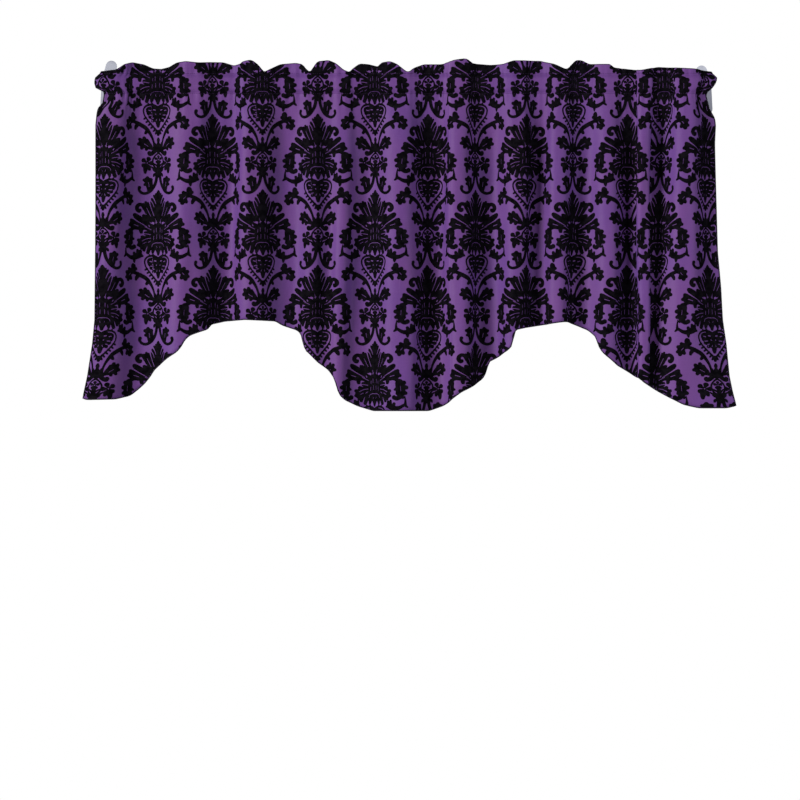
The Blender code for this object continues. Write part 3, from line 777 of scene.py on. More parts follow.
# %% Rosette and heart
ROSETTE = (
    ((0, 79, 6.0), (8, 80, 6.0), (14, 81.6, 4.6), (18.8, 84.2, 4.4), (21.8, 87.4, 3.0)),
    ((13.0, 82, 4.0), (16.0, 87.8, 3.9), (16.6, 91.6, 2.7)),
    ((7.4, 84, 4.0), (9.0, 89.4, 2.7), (9.4, 91.8, 1.9)),
    ((0, 84, 6.4), (0, 91.0, 3.3), (0, 94.4, 2.2)),
)
HEART = (
    ((0.8, 99.2, 1.5), (5.5, 97.0, 1.7), (11.6, 96.2, 1.8), (17.4, 98.0, 1.6), (20.8, 102.0, 1.3),
     (21.2, 106.6, 1.2), (19.2, 113, 1.2), (13.8, 120.4, 1.3), (7, 128.6, 1.4), (0, 136.4, 1.9)),
    ((8.6, 96.2, 2.0), (8.8, 94.8, 1.7)),
    ((13.4, 96.4, 2.0), (14, 95.0, 1.7)),
    ((0, 104, 2.6), (3.4, 101.0, 2.4), (7.6, 100.6, 2.6), (11, 102.6, 2.4)),
    ((11.0, 100.6, 2.2), (14.8, 101.8, 2.2), (16.2, 104.4, 1.9), (15.4, 107.4, 1.8)),
    ((0, 109, 7.0), (7, 108.6, 5.6), (13.2, 108.4, 3.8)),
    ((0, 114, 7.0), (6, 113.6, 4.8), (11.6, 113.8, 3.0)),
    ((0, 118, 4.6), (5.4, 117.6, 3.6), (8.0, 119.4, 2.6)),
    ((0, 116, 4.6), (0, 122.4, 3.8), (0, 127.4, 2.4)),
    ((17.8, 115, 1.7), (20.4, 116.6, 1.5)),
    ((14.6, 119.4, 1.7), (17.4, 121.4, 1.5)),
    ((11.2, 123.4, 1.7), (14.0, 125.6, 1.5)),
    ((7.8, 127.4, 1.7), (10.6, 129.8, 1.5)),
    ((4.4, 131.4, 1.7), (7.0, 134.2, 1.5)),
    ((0, 135.6, 3.4), (0, 139.6, 2.2)),
    ((2, 134.6, 2.2), (4.0, 138.0, 1.5)),
)

# %% Sprig, lozenge, tails and side scrolls
SPRIG = (
    ((0, 144.8, 1.7), (0, 147.6, 2.7), (0, 150.4, 1.9), (0, 154.4, 3.4), (0, 158.6, 4.8), (0, 162, 4.2)),
    ((2, 157.4, 2.4), (4.8, 154.0, 1.9), (5.4, 151.6, 1.2)),
    ((6, 161.4, 2.2), (10.6, 158.6, 3.0), (15, 155.4, 5.4), (20, 152.4, 6.8), (23.4, 151.6, 6.0)),
    ((15, 151.6, 3.2), (16.6, 147.6, 2.6)),
    ((20, 147.6, 3.6), (20.8, 144.4, 2.8)),
    ((24.6, 148.6, 3.6), (27.0, 146.2, 2.8)),
    ((26.0, 152.4, 3.4), (29.0, 153.0, 2.7)),
    ((22.6, 155.6, 3.6), (24.4, 158.6, 2.7)),
    ((16.6, 157.6, 3.2), (17.8, 160.6, 2.4)),
    ((5.8, 161, 2.0), (7.2, 150, 1.6), (11.0, 140.0, 2.1), (17.6, 130.6, 3.0), (26, 125.0, 3.2),
     (34, 121.2, 2.8), (40, 119.4, 2.6)),
    ((16.6, 134, 2.8), (18.6, 137.0, 2.3)),
    ((30, 124.2, 3.2), (32.8, 127.6, 2.9), (33.8, 130.6, 2.0)),
    ((40, 120, 3.2), (38.6, 115.4, 3.6), (38.2, 111.8, 4.3), (38.6, 109.8, 3.2)),
    ((36.6, 115.8, 3.4), (34.4, 115.0, 2.8)),
    ((40, 119, 3.2), (43.6, 119.4, 4.8), (46.4, 122, 5.6), (47.6, 126.0, 5.0), (48.2, 130.4, 3.2)),
    ((43.4, 117.4, 3.6), (46.4, 115.2, 2.7)),
    ((47, 120.6, 4.0), (51.2, 119.8, 2.8)),
    ((45, 125, 3.8), (42.6, 128.8, 2.8)),
    ((48.6, 125.6, 3.8), (52.0, 127.0, 2.6)),
)
LOZENGE = (
    ((3, 160.4, 3.4), (6.6, 164.0, 3.2), (9.6, 166.6, 3.1), (12.6, 167.4, 3.3), (13.4, 166.0, 3.3)),
    ((0, 166, 1.7), (4.6, 169.4, 1.3), (8.4, 175.2, 1.3), (8.2, 182.0, 1.3), (4.8, 187.8, 1.8),
     (0, 190.6, 2.4)),
    ((0, 180, 2.8), (0, 186, 3.2)),
    ((2.6, 184.6, 1.5), (6.6, 181.6, 1.3), (11, 181.4, 1.4)),
    ((18.4, 186, 4.2), (19.6, 190.4, 3.2), (19.8, 194.2, 2.1)),
    ((14.6, 186, 3.2), (13.6, 189.8, 2.2)),
    ((3.4, 191.0, 1.8), (7.2, 188.6, 1.5), (10.8, 186.0, 1.3)),
    ((0, 190, 3.0), (0, 194, 3.8), (0, 198.6, 3.4)),
    ((2, 192.4, 2.6), (5.8, 191.4, 2.2), (7.8, 189.8, 1.6)),
    ((2.8, 196, 2.8), (6.4, 197.2, 2.2), (7.6, 199.4, 1.5)),
)
TAILS = (
    ((2.4, 196, 2.6), (3.6, 205, 2.5), (6.4, 213, 2.4), (12.2, 221.0, 2.3), (19.6, 224.6, 2.3),
     (25.6, 223.4, 2.2), (28.8, 219.4, 2.2), (28.2, 216, 2.7)),
    ((14.6, 220, 2.8), (13.8, 214, 5.0), (15.0, 208.4, 5.8), (16.6, 205.4, 5.0)),
    ((12.4, 206.6, 3.6), (11.6, 204.6, 2.8)),
    ((16.2, 204, 3.4), (16.6, 202.0, 2.7)),
    ((19.0, 206.0, 3.2), (21.4, 205.0, 2.5)),
    ((18.0, 211.4, 3.2), (20.4, 211.6, 2.3)),
)
CURL = (
    ((27.4, 58.6, 0.8), (34, 56.9, 1.3), (40, 57.6, 2.4), (44.4, 60.4, 4.6)),
    ((44.4, 62.6, 6.2), (45.6, 68, 7.0), (45.8, 74, 6.8), (44.4, 79.2, 6.0), (41.0, 83.4, 4.4),
     (37.0, 83.0, 3.6)),
    ((47.6, 62.4, 4.6), (50.6, 61.6, 3.3)),
    ((50, 68.4, 4.6), (53.8, 68.6, 3.2)),
    ((49.4, 75.6, 4.6), (53.0, 76.8, 2.9)),
    ((47, 81, 3.6), (49.2, 83.2, 2.3)),
    ((40.4, 70.8, 3.0), (38.0, 71.6, 2.0)),
)
BOAT = (
    ((51.8, 80.6, 0.7), (52.8, 88, 1.5), (52.6, 93.6, 2.3)),
    ((52.6, 94.6, 2.3), (55.6, 97, 1.5)),
    ((50.8, 94.0, 2.3), (46, 97.0, 2.7), (41, 98.6, 3.3), (35.6, 98.0, 3.9), (30.8, 96.2, 4.4),
     (28.0, 94.8, 3.8)),
    ((36.8, 100.6, 3.0), (36.6, 103.4, 2.2), (36.4, 105.4, 1.4)),
    ((28.8, 93.4, 3.6), (27.4, 89.6, 2.6)),
    ((31, 92.4, 2.8), (31.4, 87.8, 2.0)),
    ((35.8, 94.4, 2.9), (36.8, 92.2, 2.5)),
    ((27.6, 96, 2.8), (24.6, 96.4, 1.9)),
)

# %% Blossoms, and the bare lines left between the leaves
FLOWERS = (
    # across, down, petals, reach, first petal's turn, eye
    (0, 175.4, 5, 6.0, 90, 0.8),
    (16.8, 180.4, 5, 9.0, 110, 0.8),
)
VEINS = (
    ((9.8, 9.8, 1.1), (6.8, 14.8, 0.7), (4.4, 20.6, 0.5)),
    ((13.0, 15.0, 1.0), (9.4, 19.6, 0.6), (7.2, 25.2, 0.5)),
    ((14.2, 17.0, 1.2), (12.8, 22.6, 0.7), (10.4, 30, 0.55), (7.4, 38, 0.55)),
    ((18.2, 26.4, 0.45), (15.0, 33, 0.5), (12.0, 38.6, 0.45)),
    ((24.6, 28.2, 0.9), (24.0, 31.6, 1.3), (22.4, 34.4, 0.9), (18.4, 36.2, 0.5)),
    ((24.6, 28.2, 0.8), (26.6, 26.6, 1.0), (28.4, 27.0, 0.8)),
    ((17.4, 54.2, 0.45), (24, 50.2, 0.6), (31, 46.2, 0.8), (36.4, 42.8, 1.1)),
    ((30, 53.0, 0.5), (37, 50.8, 0.5)),
    ((7.6, 48.4, 1.0), (10.0, 48.0, 1.1)),
    ((2.4, 47.6, 0.6), (3.4, 47.2, 0.6)),
    ((14.2, 53.4, 0.9), (15.2, 51.8, 0.7)),
    ((18.2, 60.0, 0.5), (22.2, 59.6, 1.2)),
    ((11.6, 58.4, 0.45), (16.4, 56.0, 0.45), (21.0, 53.6, 0.5)),
    ((12.4, 65.4, 0.45), (20.0, 64.2, 0.5), (27.0, 64.4, 0.6)),
    ((12.0, 70.6, 0.45), (18.6, 71.6, 0.45), (25.0, 74.6, 0.6)),
    ((7.6, 67.6, 0.45), (8.2, 73.0, 0.45)),
    ((2.8, 65.6, 0.45), (3.0, 72.0, 0.45)),
    ((3.6, 62, 0.45), (3.6, 56, 0.5)),
    ((7.4, 63, 0.45), (7.2, 58.6, 0.45)),
    ((10.8, 83.0, 0.5), (9.4, 79.6, 0.45), (5.2, 77.6, 0.45), (0, 77.6, 0.45)),
    ((12.8, 74.8, 0.5), (16.0, 76.8, 0.5)),
    ((17.4, 82.6, 0.45), (19.6, 89.6, 1.0)),
    ((5.6, 89.2, 0.7), (5.6, 93.6, 1.2)),
    ((12.4, 88.6, 0.5), (12.8, 93.6, 1.1)),
    ((2.4, 84.6, 0.45), (3.4, 82.2, 0.45)),
    ((19, 76.4, 0.45), (23.6, 78.6, 0.45)),
    ((4.0, 104.0, 0.8), (6.8, 103.6, 0.8)),
    ((10.8, 105.0, 0.7), (12.4, 104.6, 0.7)),
    ((3.0, 110.0, 0.7), (3.8, 109.6, 0.7)),
    ((8.4, 111.2, 0.6), (12.6, 111.4, 0.7)),
    ((6.4, 115.6, 0.5), (9.0, 116.2, 0.7)),
    ((2.2, 117.0, 0.5), (3.0, 119.4, 0.6)),
    ((43.6, 121.4, 0.45), (46.4, 124.4, 0.5)),
    ((15, 156.4, 0.45), (21, 152.4, 0.45)),
    ((14.2, 215, 0.45), (15.2, 208.6, 0.5)),
    ((45.6, 66.4, 0.45), (46.2, 73.6, 0.45)),
    ((38.6, 79.2, 1.1), (40.4, 80.6, 0.8)),
)
ORNAMENT = (PLUME, FROND, WING, FAN, SIDE_LEAF, ROSETTE, HEART, SPRIG, LOZENGE, TAILS, CURL, BOAT)
print("strokes:", sum(len(part) for part in ORNAMENT), "bare lines:", len(VEINS))

# %% [markdown]
# ## From strokes to an outline
#
# The chart is turned into a **distance field**: for each point of a fine grid, the distance to the
# nearest stroke's centre line less that stroke's half-width, so the ink is where it is negative.
# Taking the smallest of all strokes joins them, and the bare lines are cut out the same way. The
# outline is where the field passes zero. Each square of the grid is split into two triangles, and
# a triangle whose corners differ holds one short piece of the outline, with the ink on its left.

# %% Strokes into a distance field
CHART_STEP = 0.40              # millimetres, as all sizes of the chart
CHART_REACH = 60.0             # from the axis
CHART_ABOVE = 3                # over the palmette's tip
CHART_HEIGHT = 230.0           # below it
LINE_STEPS = 6                 # straight pieces between two points of a stroke
FIELD_MARGIN = 2.0             # a stroke lowers the field this far outside its edge
FAR = 9.0                      # the field where no stroke is near
SHORTEST = 1e-9                # keeps a piece without length from dividing by nothing
PETAL_ALONG = (0.2, 0.68)      # a petal's two points and their half-widths, in reaches
PETAL_WIDE = (0.14, 0.40)
EYE_LONG = 0.1
PRINT_SHRINK = 0.22            # the printed outline lies inside the brush by this much
BARE_SPREAD = 0.06             # and a bare line's edge outside its brush


def brush_line(points):
    """A Catmull-Rom curve through a stroke's points, half-widths included."""
    given = np.array(points, float)
    if len(given) < 3:
        return given
    ends = np.vstack([2 * given[0] - given[1], given, 2 * given[-1] - given[-2]])
    before, first, second, after = ends[:-3], ends[1:-2], ends[2:-1], ends[3:]
    t = np.linspace(0, 1, LINE_STEPS, endpoint=False)[:, None, None]
    line = 0.5 * (2 * first + (second - before) * t
                  + (2 * before - 5 * first + 4 * second - after) * t ** 2
                  + (3 * first - before - 3 * second + after) * t ** 3)
    return np.vstack([line.transpose(1, 0, 2).reshape(-1, 3), given[-1]])


def lower_field(field, across, down, line):
    """Lower the field by a line: distance to each piece less the half-width along it."""
    for (x0, y0, w0), (x1, y1, w1) in zip(line[:-1], line[1:]):
        reach = max(w0, w1) + FIELD_MARGIN
        cols = (across >= min(x0, x1) - reach) & (across <= max(x0, x1) + reach)
        rows = (down >= min(y0, y1) - reach) & (down <= max(y0, y1) + reach)
        x, y = across[cols][None, :], down[rows][:, None]
        dx, dy = x1 - x0, y1 - y0
        share = np.clip(((x - x0) * dx + (y - y0) * dy) / max(dx * dx + dy * dy, SHORTEST), 0, 1)
        away = np.hypot(x - x0 - dx * share, y - y0 - dy * share) - (w0 + (w1 - w0) * share)
        block = np.ix_(rows, cols)
        field[block] = np.minimum(field[block], away)


def petal_lines(across, down, petals, reach, first):
    """A blossom's petals: short strokes that widen outwards, turned evenly about its middle."""
    turns = np.radians(first + 360 / petals * np.arange(petals))
    along = np.array(PETAL_ALONG) * reach
    widths = np.broadcast_to(np.array(PETAL_WIDE) * reach, (petals, 2))
    x = across + np.cos(turns)[:, None] * along
    y = down - np.sin(turns)[:, None] * along
    return np.stack([x, y, widths], axis=-1)


def chart_field():
    """The whole ornament's field on (down, across), mirrored about its axis."""
    across = np.arange(0, CHART_REACH, CHART_STEP)
    down = np.arange(-CHART_ABOVE, CHART_HEIGHT, CHART_STEP)
    ink = np.full((len(down), len(across)), FAR)
    bare = ink.copy()
    for part in ORNAMENT:
        for stroke in part:
            lower_field(ink, across, down, brush_line(stroke))
    for x, y, petals, reach, first, eye in FLOWERS:
        for line in petal_lines(x, y, petals, reach, first):
            lower_field(ink, across, down, line)
        lower_field(bare, across, down, np.array([(x, y, eye), (x + EYE_LONG, y, eye)]))
    for stroke in VEINS:
        lower_field(bare, across, down, brush_line(stroke))
    half = np.maximum(ink + PRINT_SHRINK, -bare - BARE_SPREAD)
    return (np.concatenate([-across[:0:-1], across]), down,
            np.concatenate([half[:, :0:-1], half], axis=1))


chart_across, chart_down, ink_field = chart_field()
print("chart:", ink_field.shape, "inked share:", round(float((ink_field < 0).mean()), 3))


# %% Field into an outline
THINNING = (0.02, 0.04, 0.06, 0.07, 0.08, 0.09, 0.10, 0.10, 0.10, 0.10)     # millimetres
LONGEST_CHORD = 4.0            # no point goes whose neighbours are further apart than this
NO_TIE = 1e-12                 # tells points apart that are equally close to their lines
NO_LENGTH = 1e-6               # keeps a chord without length from dividing by nothing
OUTLINE_DIGITS = 5             # decimals kept, so that neighbouring squares agree on a point


def crossings(field, across, down):
    """Outline pieces as pairs of points where the field is zero, with the ink on their left.

    Each grid square is two triangles. On a triangle's side from corner a to corner b the zero
    lies at the share f(a) / (f(a) - f(b)).
    """
    x, y = np.meshgrid(across, -down)
    corners = np.stack([x, y, field], axis=-1)
    low_left, low_right = corners[1:, :-1], corners[1:, 1:]
    top_left, top_right = corners[:-1, :-1], corners[:-1, 1:]
    triangles = np.concatenate([
        np.stack([low_left, low_right, top_right], axis=2).reshape(-1, 3, 3),
        np.stack([low_left, top_right, top_left], axis=2).reshape(-1, 3, 3)])
    inked = triangles[..., 2] < 0
    pieces = []
    for turn in range(3):
        a, b, c = (np.roll(triangles, -turn, axis=1)[:, k] for k in range(3))
        ia, ib, ic = (np.roll(inked, -turn, axis=1)[:, k] for k in range(3))
        for alone, flip in ((ia & ~ib & ~ic, False), (~ia & ib & ic, True)):
            first = zero_between(a[alone], b[alone])
            second = zero_between(a[alone], c[alone])
            pieces.append(np.stack([second, first] if flip else [first, second], axis=1))
    return np.concatenate(pieces)


def zero_between(a, b):
    """Where the field passes zero between corners a and b, rounded so that neighbours agree."""
    share = (a[:, 2] / (a[:, 2] - b[:, 2]))[:, None]
    return np.round(a[:, :2] + (b[:, :2] - a[:, :2]) * share, OUTLINE_DIGITS)


def linked(pieces):
    """Points of an outline and, for each, the number of the next and the previous point."""
    ends = pieces.reshape(-1, 2)
    points, number = np.unique(ends, axis=0, return_inverse=True)
    number = number.reshape(-1, 2)
    number = number[number[:, 0] != number[:, 1]]
    after = np.full(len(points), -1)
    before = np.full(len(points), -1)
    after[number[:, 0]] = number[:, 1]
    before[number[:, 1]] = number[:, 0]
    return points, before, after


def thinned(points, before, after):
    """Drop points that lie within a small distance of the line between their neighbours.

    A point may go only if it is closer to that line than both neighbours are to theirs, so no
    two neighbours go in one pass.
    """
    kept = (before >= 0) & (after >= 0)
    for limit in THINNING:
        a, b = points[before], points[after]
        chord = b - a
        length = np.maximum(np.hypot(*chord.T), NO_LENGTH)
        away = np.abs(chord[:, 0] * (points - a)[:, 1] - chord[:, 1] * (points - a)[:, 0]) / length
        away = np.where(kept, away + np.arange(len(points)) * NO_TIE, np.inf)
        drop = kept & (away < limit) & (away < away[before]) & (away < away[after])
        drop &= length < LONGEST_CHORD
        gone = np.flatnonzero(drop)
        after[before[gone]] = after[gone]
        before[after[gone]] = before[gone]
        kept[gone] = False
    number = np.cumsum(kept) - 1
    ink_points = points[kept]
    ink_edges = np.stack([np.arange(len(ink_points)), number[after[kept]]], axis=1)
    return ink_points, ink_edges


outline_points, outline_edges = thinned(*linked(crossings(ink_field, chart_across, chart_down)))
print("outline:", len(outline_points), "points")

# %% [markdown]
# ## Flock: a pile that stands on the cloth
#
# Flock is millions of short fibres shot on to printed glue. It is matt black and stands about a
# third of a millimetre proud. The outline is laid on the flat cloth at each place of the half-drop
# repeat and cut up together with the cloth's own mesh lines by a constrained Delaunay
# triangulation. Every corner of the result then has a flat position, and the folded cloth says
# where that is in space. The print runs on over the ruffle and down behind.

# %% Flat positions on the folded cloth
def on_cloth(cloth, climb, lift):
    """Points at flat positions, lifted along the normal: a bilinear reading of the strip."""
    column = np.clip(np.searchsorted(columns, cloth, side="right") - 1, 0, column_count - 2)
    part = np.clip((cloth - columns[column]) / (columns[column + 1] - columns[column]), 0, 1)
    lines = climbs[:, column] * (1 - part) + climbs[:, column + 1] * part
    row = np.clip((lines <= climb).sum(axis=0) - 1, 0, row_count - 2)
    at = np.arange(len(row))
    rise = (climb - lines[row, at]) / (lines[row + 1, at] - lines[row, at])
    rise = np.clip(rise, 0, 1)[:, None]
    part = part[:, None]

    def read(field):
        low = field[row, column] * (1 - part) + field[row, column + 1] * part
        high = field[row + 1, column] * (1 - part) + field[row + 1, column + 1] * part
        return low * (1 - rise) + high * rise

    normal = read(normals)
    normal /= np.linalg.norm(normal, axis=-1, keepdims=True)
    return read(places) + normal * lift, normal


# %% Cutting the print to the cloth
AXES = 13                      # columns of the ornament across the cloth
FIRST_AXIS = 14.5              # millimetres, as all sizes of the print
REPEAT_ACROSS = 92.0
REPEAT_DOWN = 219.0
COLUMNS_IN_TURN = ((175, 3), (284, 4))     # height of the highest palmette's tip, and how many
WHOLE_HULL = 0                 # the triangulation gives every triangle, inked or not
SAME_POINT = 1e-5              # it joins points closer than this
GRID_END = 1.001               # keeps a reading inside the chart's last square


def mesh_window(low_cloth, high_cloth, low_climb, high_climb):
    """The cloth's mesh lines round a flat rectangle: points in millimetres, and edges."""
    cols = slice(max(np.searchsorted(columns, low_cloth) - 2, 0),
                 np.searchsorted(columns, high_cloth) + 2)
    near = (climbs[:, cols] >= low_climb) & (climbs[:, cols] <= high_climb)
    rows = np.flatnonzero(near.any(axis=1))
    if len(rows) == 0:
        return None, None
    rows = slice(max(rows[0] - 1, 0), rows[-1] + 2)
    climb = climbs[rows, cols]
    points = np.stack([np.broadcast_to(columns[cols], climb.shape), climb], axis=-1) / MM
    number = np.arange(climb.size).reshape(climb.shape)
    edges = np.concatenate([
        np.stack([number[:, :-1], number[:, 1:]], axis=-1).reshape(-1, 2),
        np.stack([number[:-1], number[1:]], axis=-1).reshape(-1, 2)])
    return points.reshape(-1, 2), edges


def field_at(across, down):
    """The chart's field between its grid points: a bilinear reading."""
    x = np.clip((across - chart_across[0]) / CHART_STEP, 0, len(chart_across) - GRID_END)
    y = np.clip((down - chart_down[0]) / CHART_STEP, 0, len(chart_down) - GRID_END)
    column, row = x.astype(int), y.astype(int)
    x, y = x - column, y - row
    upper = ink_field[row, column] * (1 - x) + ink_field[row, column + 1] * x
    lower = ink_field[row + 1, column] * (1 - x) + ink_field[row + 1, column + 1] * x
    return upper * (1 - y) + lower * y


def cut_print(centre, tip):
    """Inked triangles of one repeat: flat points in metres and point numbers."""
    ink = outline_points + (centre, tip)
    window, mesh_edges = mesh_window(*(ink[:, 0].min() * MM, ink[:, 0].max() * MM),
                                     *(ink[:, 1].min() * MM, ink[:, 1].max() * MM))
    if window is None:
        return None
    points = np.concatenate([ink, window])
    edges = np.concatenate([outline_edges, mesh_edges + len(ink)])
    made = geometry.delaunay_2d_cdt([Vector(point) for point in points.tolist()], edges.tolist(),
                                    [], WHOLE_HULL, SAME_POINT)
    flat = np.array([tuple(vertex) for vertex in made[0]])
    triangles = np.array(made[2])
    source = np.array([min(owners, default=len(edges)) for owners in made[4]])
    return keep_inked(flat, np.array(made[1]), triangles, source, edges, points, (centre, tip))


def keep_inked(flat, cut_edges, triangles, source, edges, points, place):
    """Keep the triangles on the ink's side: by the outline beside them, or by the chart."""
    outlined = source < len(outline_edges)
    count = len(flat)
    way = flat[cut_edges[:, 1]] - flat[cut_edges[:, 0]]
    drawn = np.zeros_like(way)
    pieces = edges[source[outlined]]
    drawn[outlined] = points[pieces[:, 1]] - points[pieces[:, 0]]
    same = (way * drawn).sum(axis=1) >= 0
    ahead = np.where(same[:, None], cut_edges, cut_edges[:, ::-1])[outlined]
    ahead_code = ahead[:, 0] * count + ahead[:, 1]
    back_code = ahead[:, 1] * count + ahead[:, 0]
    sides = np.stack([triangles, np.roll(triangles, -1, axis=1)], axis=-1)
    side_code = sides[..., 0] * count + sides[..., 1]
    label = np.isin(side_code, ahead_code).any(axis=1).astype(int)
    label -= np.isin(side_code, back_code).any(axis=1).astype(int)
    middle = flat[triangles].mean(axis=1)
    beside = field_at(middle[:, 0] - place[0], place[1] - middle[:, 1]) < 0
    inked = np.where(label != 0, label > 0, beside)
    return flat * MM, triangles[inked & inside_cloth(middle * MM)]


def inside_cloth(flat):
    """Whether flat points lie on the strip."""
    lowest = np.interp(flat[:, 0], columns, climbs[0])
    highest = np.interp(flat[:, 0], columns, climbs[-1])
    return ((flat[:, 0] > 0) & (flat[:, 0] < cloth_width) & (flat[:, 1] > lowest)
            & (flat[:, 1] < highest))


# %% Raising the pile
PILE_TOP = SHEET_THICK / 2 + 0.00034       # from the middle of the sheet
PILE_FOOT = SHEET_THICK / 2 - 0.00012      # sunk into it, so that no gap shows


def raised(flat, triangles):
    """Points, faces, flat map and corner normals of a pile: top, foot and the walls between."""
    used, numbers = np.unique(triangles, return_inverse=True)
    triangles = numbers.reshape(-1, 3)
    flat = flat[used]
    top, normal = on_cloth(flat[:, 0], flat[:, 1], PILE_TOP)
    foot, _ = on_cloth(flat[:, 0], flat[:, 1], PILE_FOOT)
    sides = np.stack([triangles, np.roll(triangles, -1, axis=1)], axis=-1).reshape(-1, 2)
    code = sides[:, 0] * len(flat) + sides[:, 1]
    edge = sides[~np.isin(code, sides[:, 1] * len(flat) + sides[:, 0])]
    a, b = edge[:, 0], edge[:, 1]
    count = len(flat)
    walls = np.concatenate([np.stack([b, a, a + count], axis=1),
                            np.stack([b, a + count, b + count], axis=1)])
    faces = np.concatenate([triangles, triangles[:, ::-1] + count, walls])
    out = np.cross(top[b] - top[a], normal[a])
    out /= np.maximum(np.linalg.norm(out, axis=1, keepdims=True), SHORTEST)
    corner_normals = np.concatenate([
        normal[triangles].reshape(-1, 3), -normal[triangles[:, ::-1]].reshape(-1, 3),
        np.repeat(np.concatenate([out, out]), 3, axis=0)])
    return np.concatenate([top, foot]), faces, np.concatenate([flat, flat]), corner_normals


# %% Flock material
FLOCK_TONE = (0.0030, 0.0025, 0.0038)
BRUSHED_TONE = (0.0088, 0.0072, 0.0106)

flock_black, tree, shader = new_material("black_flock")
given = {"Vector": coordinate(tree, "UV"), "Fibre Scale": 5200.0}
brushed = add_node(tree, "Group", given, node_tree=pile)
set_inputs(tree, shader, {
    "Base Color": mixed(tree, brushed.outputs["Brushed"], FLOCK_TONE, BRUSHED_TONE),
    "Roughness": math_node(tree, "MULTIPLY_ADD", brushed.outputs["Fibres"], 0.2, 0.72),
    "Specular IOR Level": 0.02,
    "Normal": bump(tree, brushed.outputs["Fibres"], 0.5, 0.00022)})

# %% Lay the print and raise it
FLOCK_PIECES = 6               # the print is shared out so that no piece grows too large
patches = [[] for _ in range(FLOCK_PIECES)]
for axis in range(AXES):
    centre = FIRST_AXIS + REPEAT_ACROSS * axis
    highest, copies = COLUMNS_IN_TURN[axis % 2]
    for tip in highest - REPEAT_DOWN * np.arange(copies):
        patch = cut_print(centre, tip)
        if patch is not None and len(patch[1]):
            patches[axis * FLOCK_PIECES // AXES].append(raised(*patch))
for index, group in enumerate(patches):
    counts = np.cumsum([0] + [len(patch[0]) for patch in group])
    points = np.concatenate([patch[0] for patch in group])
    faces = np.concatenate([patch[1] + count for patch, count in zip(group, counts)])
    piece = add_piece(f"flock_print_{index + 1}", points, faces.tolist(), flock_black)
    give_map(piece, np.concatenate([patch[2] for patch in group]))
    piece.data.normals_split_custom_set(np.concatenate([patch[3] for patch in group]).tolist())
    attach(piece, "root")
    print(piece.name, len(faces), "triangles")

# %% [markdown]
# ## Rolled edge, painted shade line and stitching
#
# The cut edge of a light taffeta frays, so it is rolled and overlocked with dark thread along the
# sides and the hem; that near-black thread is also painted shade, the dark shaded line round the
# cloth's outline. The same tube goes on along the fold at the ruffle's top, where no edge is, and
# there it is painted shade alone, read as a thin dark line. It is a tube carried round the front
# of the strip. The two rows of machine stitches that make the rod pocket are short threads on the
# front and on the back, each dipping into the cloth at its ends.

# %% Tubes along the cloth
def tube_piece(name, path, normal, radius, sides, material):
    """A round tube along paths, with closed ends: path + radius x (cos across + sin normal).

    path and normal are (lines, stations, xyz), and each line makes a tube of its own.
    """
    along = np.gradient(path, axis=1)
    along /= np.linalg.norm(along, axis=-1, keepdims=True)
    across = np.cross(along, normal)
    across /= np.linalg.norm(across, axis=-1, keepdims=True)
    turn = np.linspace(0, math.tau, sides, endpoint=False)[:, None]
    ring = (path[:, :, None] + across[:, :, None] * (np.cos(turn) * radius)
            + normal[:, :, None] * (np.sin(turn) * radius))
    lines, stations = path.shape[:2]
    number = np.arange(lines * stations * sides).reshape(lines, stations, sides)
    after = np.roll(number, -1, axis=2)
    quads = np.stack([number[:, :-1], after[:, :-1], after[:, 1:], number[:, 1:]], axis=-1)
    caps = np.concatenate([number[:, 0, ::-1], number[:, -1]])
    return add_piece(name, ring, quads.reshape(-1, 4).tolist() + caps.tolist(), material)


# %% Thread materials
STRAND_CELLS = (1600.0, 1600.0, 700.0)     # noise cells per metre


def thread_material(name, shade, light):
    """Spun thread: fine strands across it between two tones, with a soft gloss."""
    made, tree, shader = new_material(name)
    strands = noise(tree, scaled(tree, coordinate(tree, "Object"), STRAND_CELLS), 1.0)
    set_inputs(tree, shader, {
        "Base Color": mixed(tree, between(tree, strands, 0.35, 0.65), shade, light),
        "Roughness": math_node(tree, "MULTIPLY_ADD", strands, 0.2, 0.45),
        "Specular IOR Level": 0.25,
        "Normal": bump(tree, strands, 0.5, 0.0002)})
    return made


# near-black thread: the rolled edge's own thread, and painted shade along the outline and the ruffle's
# top fold
edge_thread_and_shade = thread_material("edge_thread_and_shade", shade=(0.006, 0.003, 0.012), light=(0.016, 0.007, 0.030))
violet_thread = thread_material("violet_thread", shade=(0.060, 0.023, 0.105), light=(0.095, 0.036, 0.160))

# %% The rolled edge and the painted shade line
ROLL_RADIUS = 0.00085
ROLL_SIDES = 7
crown = PANEL_ROWS + POCKET_ROWS + RUFFLE_ROWS + 1      # the row along the ruffle's top


def round_the_rim(field):
    """A field's values down the left side, along the hem, up the right side and along the top."""
    return np.concatenate([field[crown::-1, 0], field[0, 1:], field[1:crown + 1, -1],
                           field[crown, -2::-1]])[None]


# along the sides and hem the tube is the rolled edge and painted shade; along the ruffle's top fold,
# painted shade alone
rim_path, rim_normal = round_the_rim(places), round_the_rim(normals)
edge_and_shade_line = tube_piece("rolled_edge_and_shade_line", rim_path, rim_normal, ROLL_RADIUS, ROLL_SIDES, edge_thread_and_shade)
print("rolled edge:", round(float(np.linalg.norm(np.diff(rim_path[0], axis=0), axis=1).sum()), 2), "m")

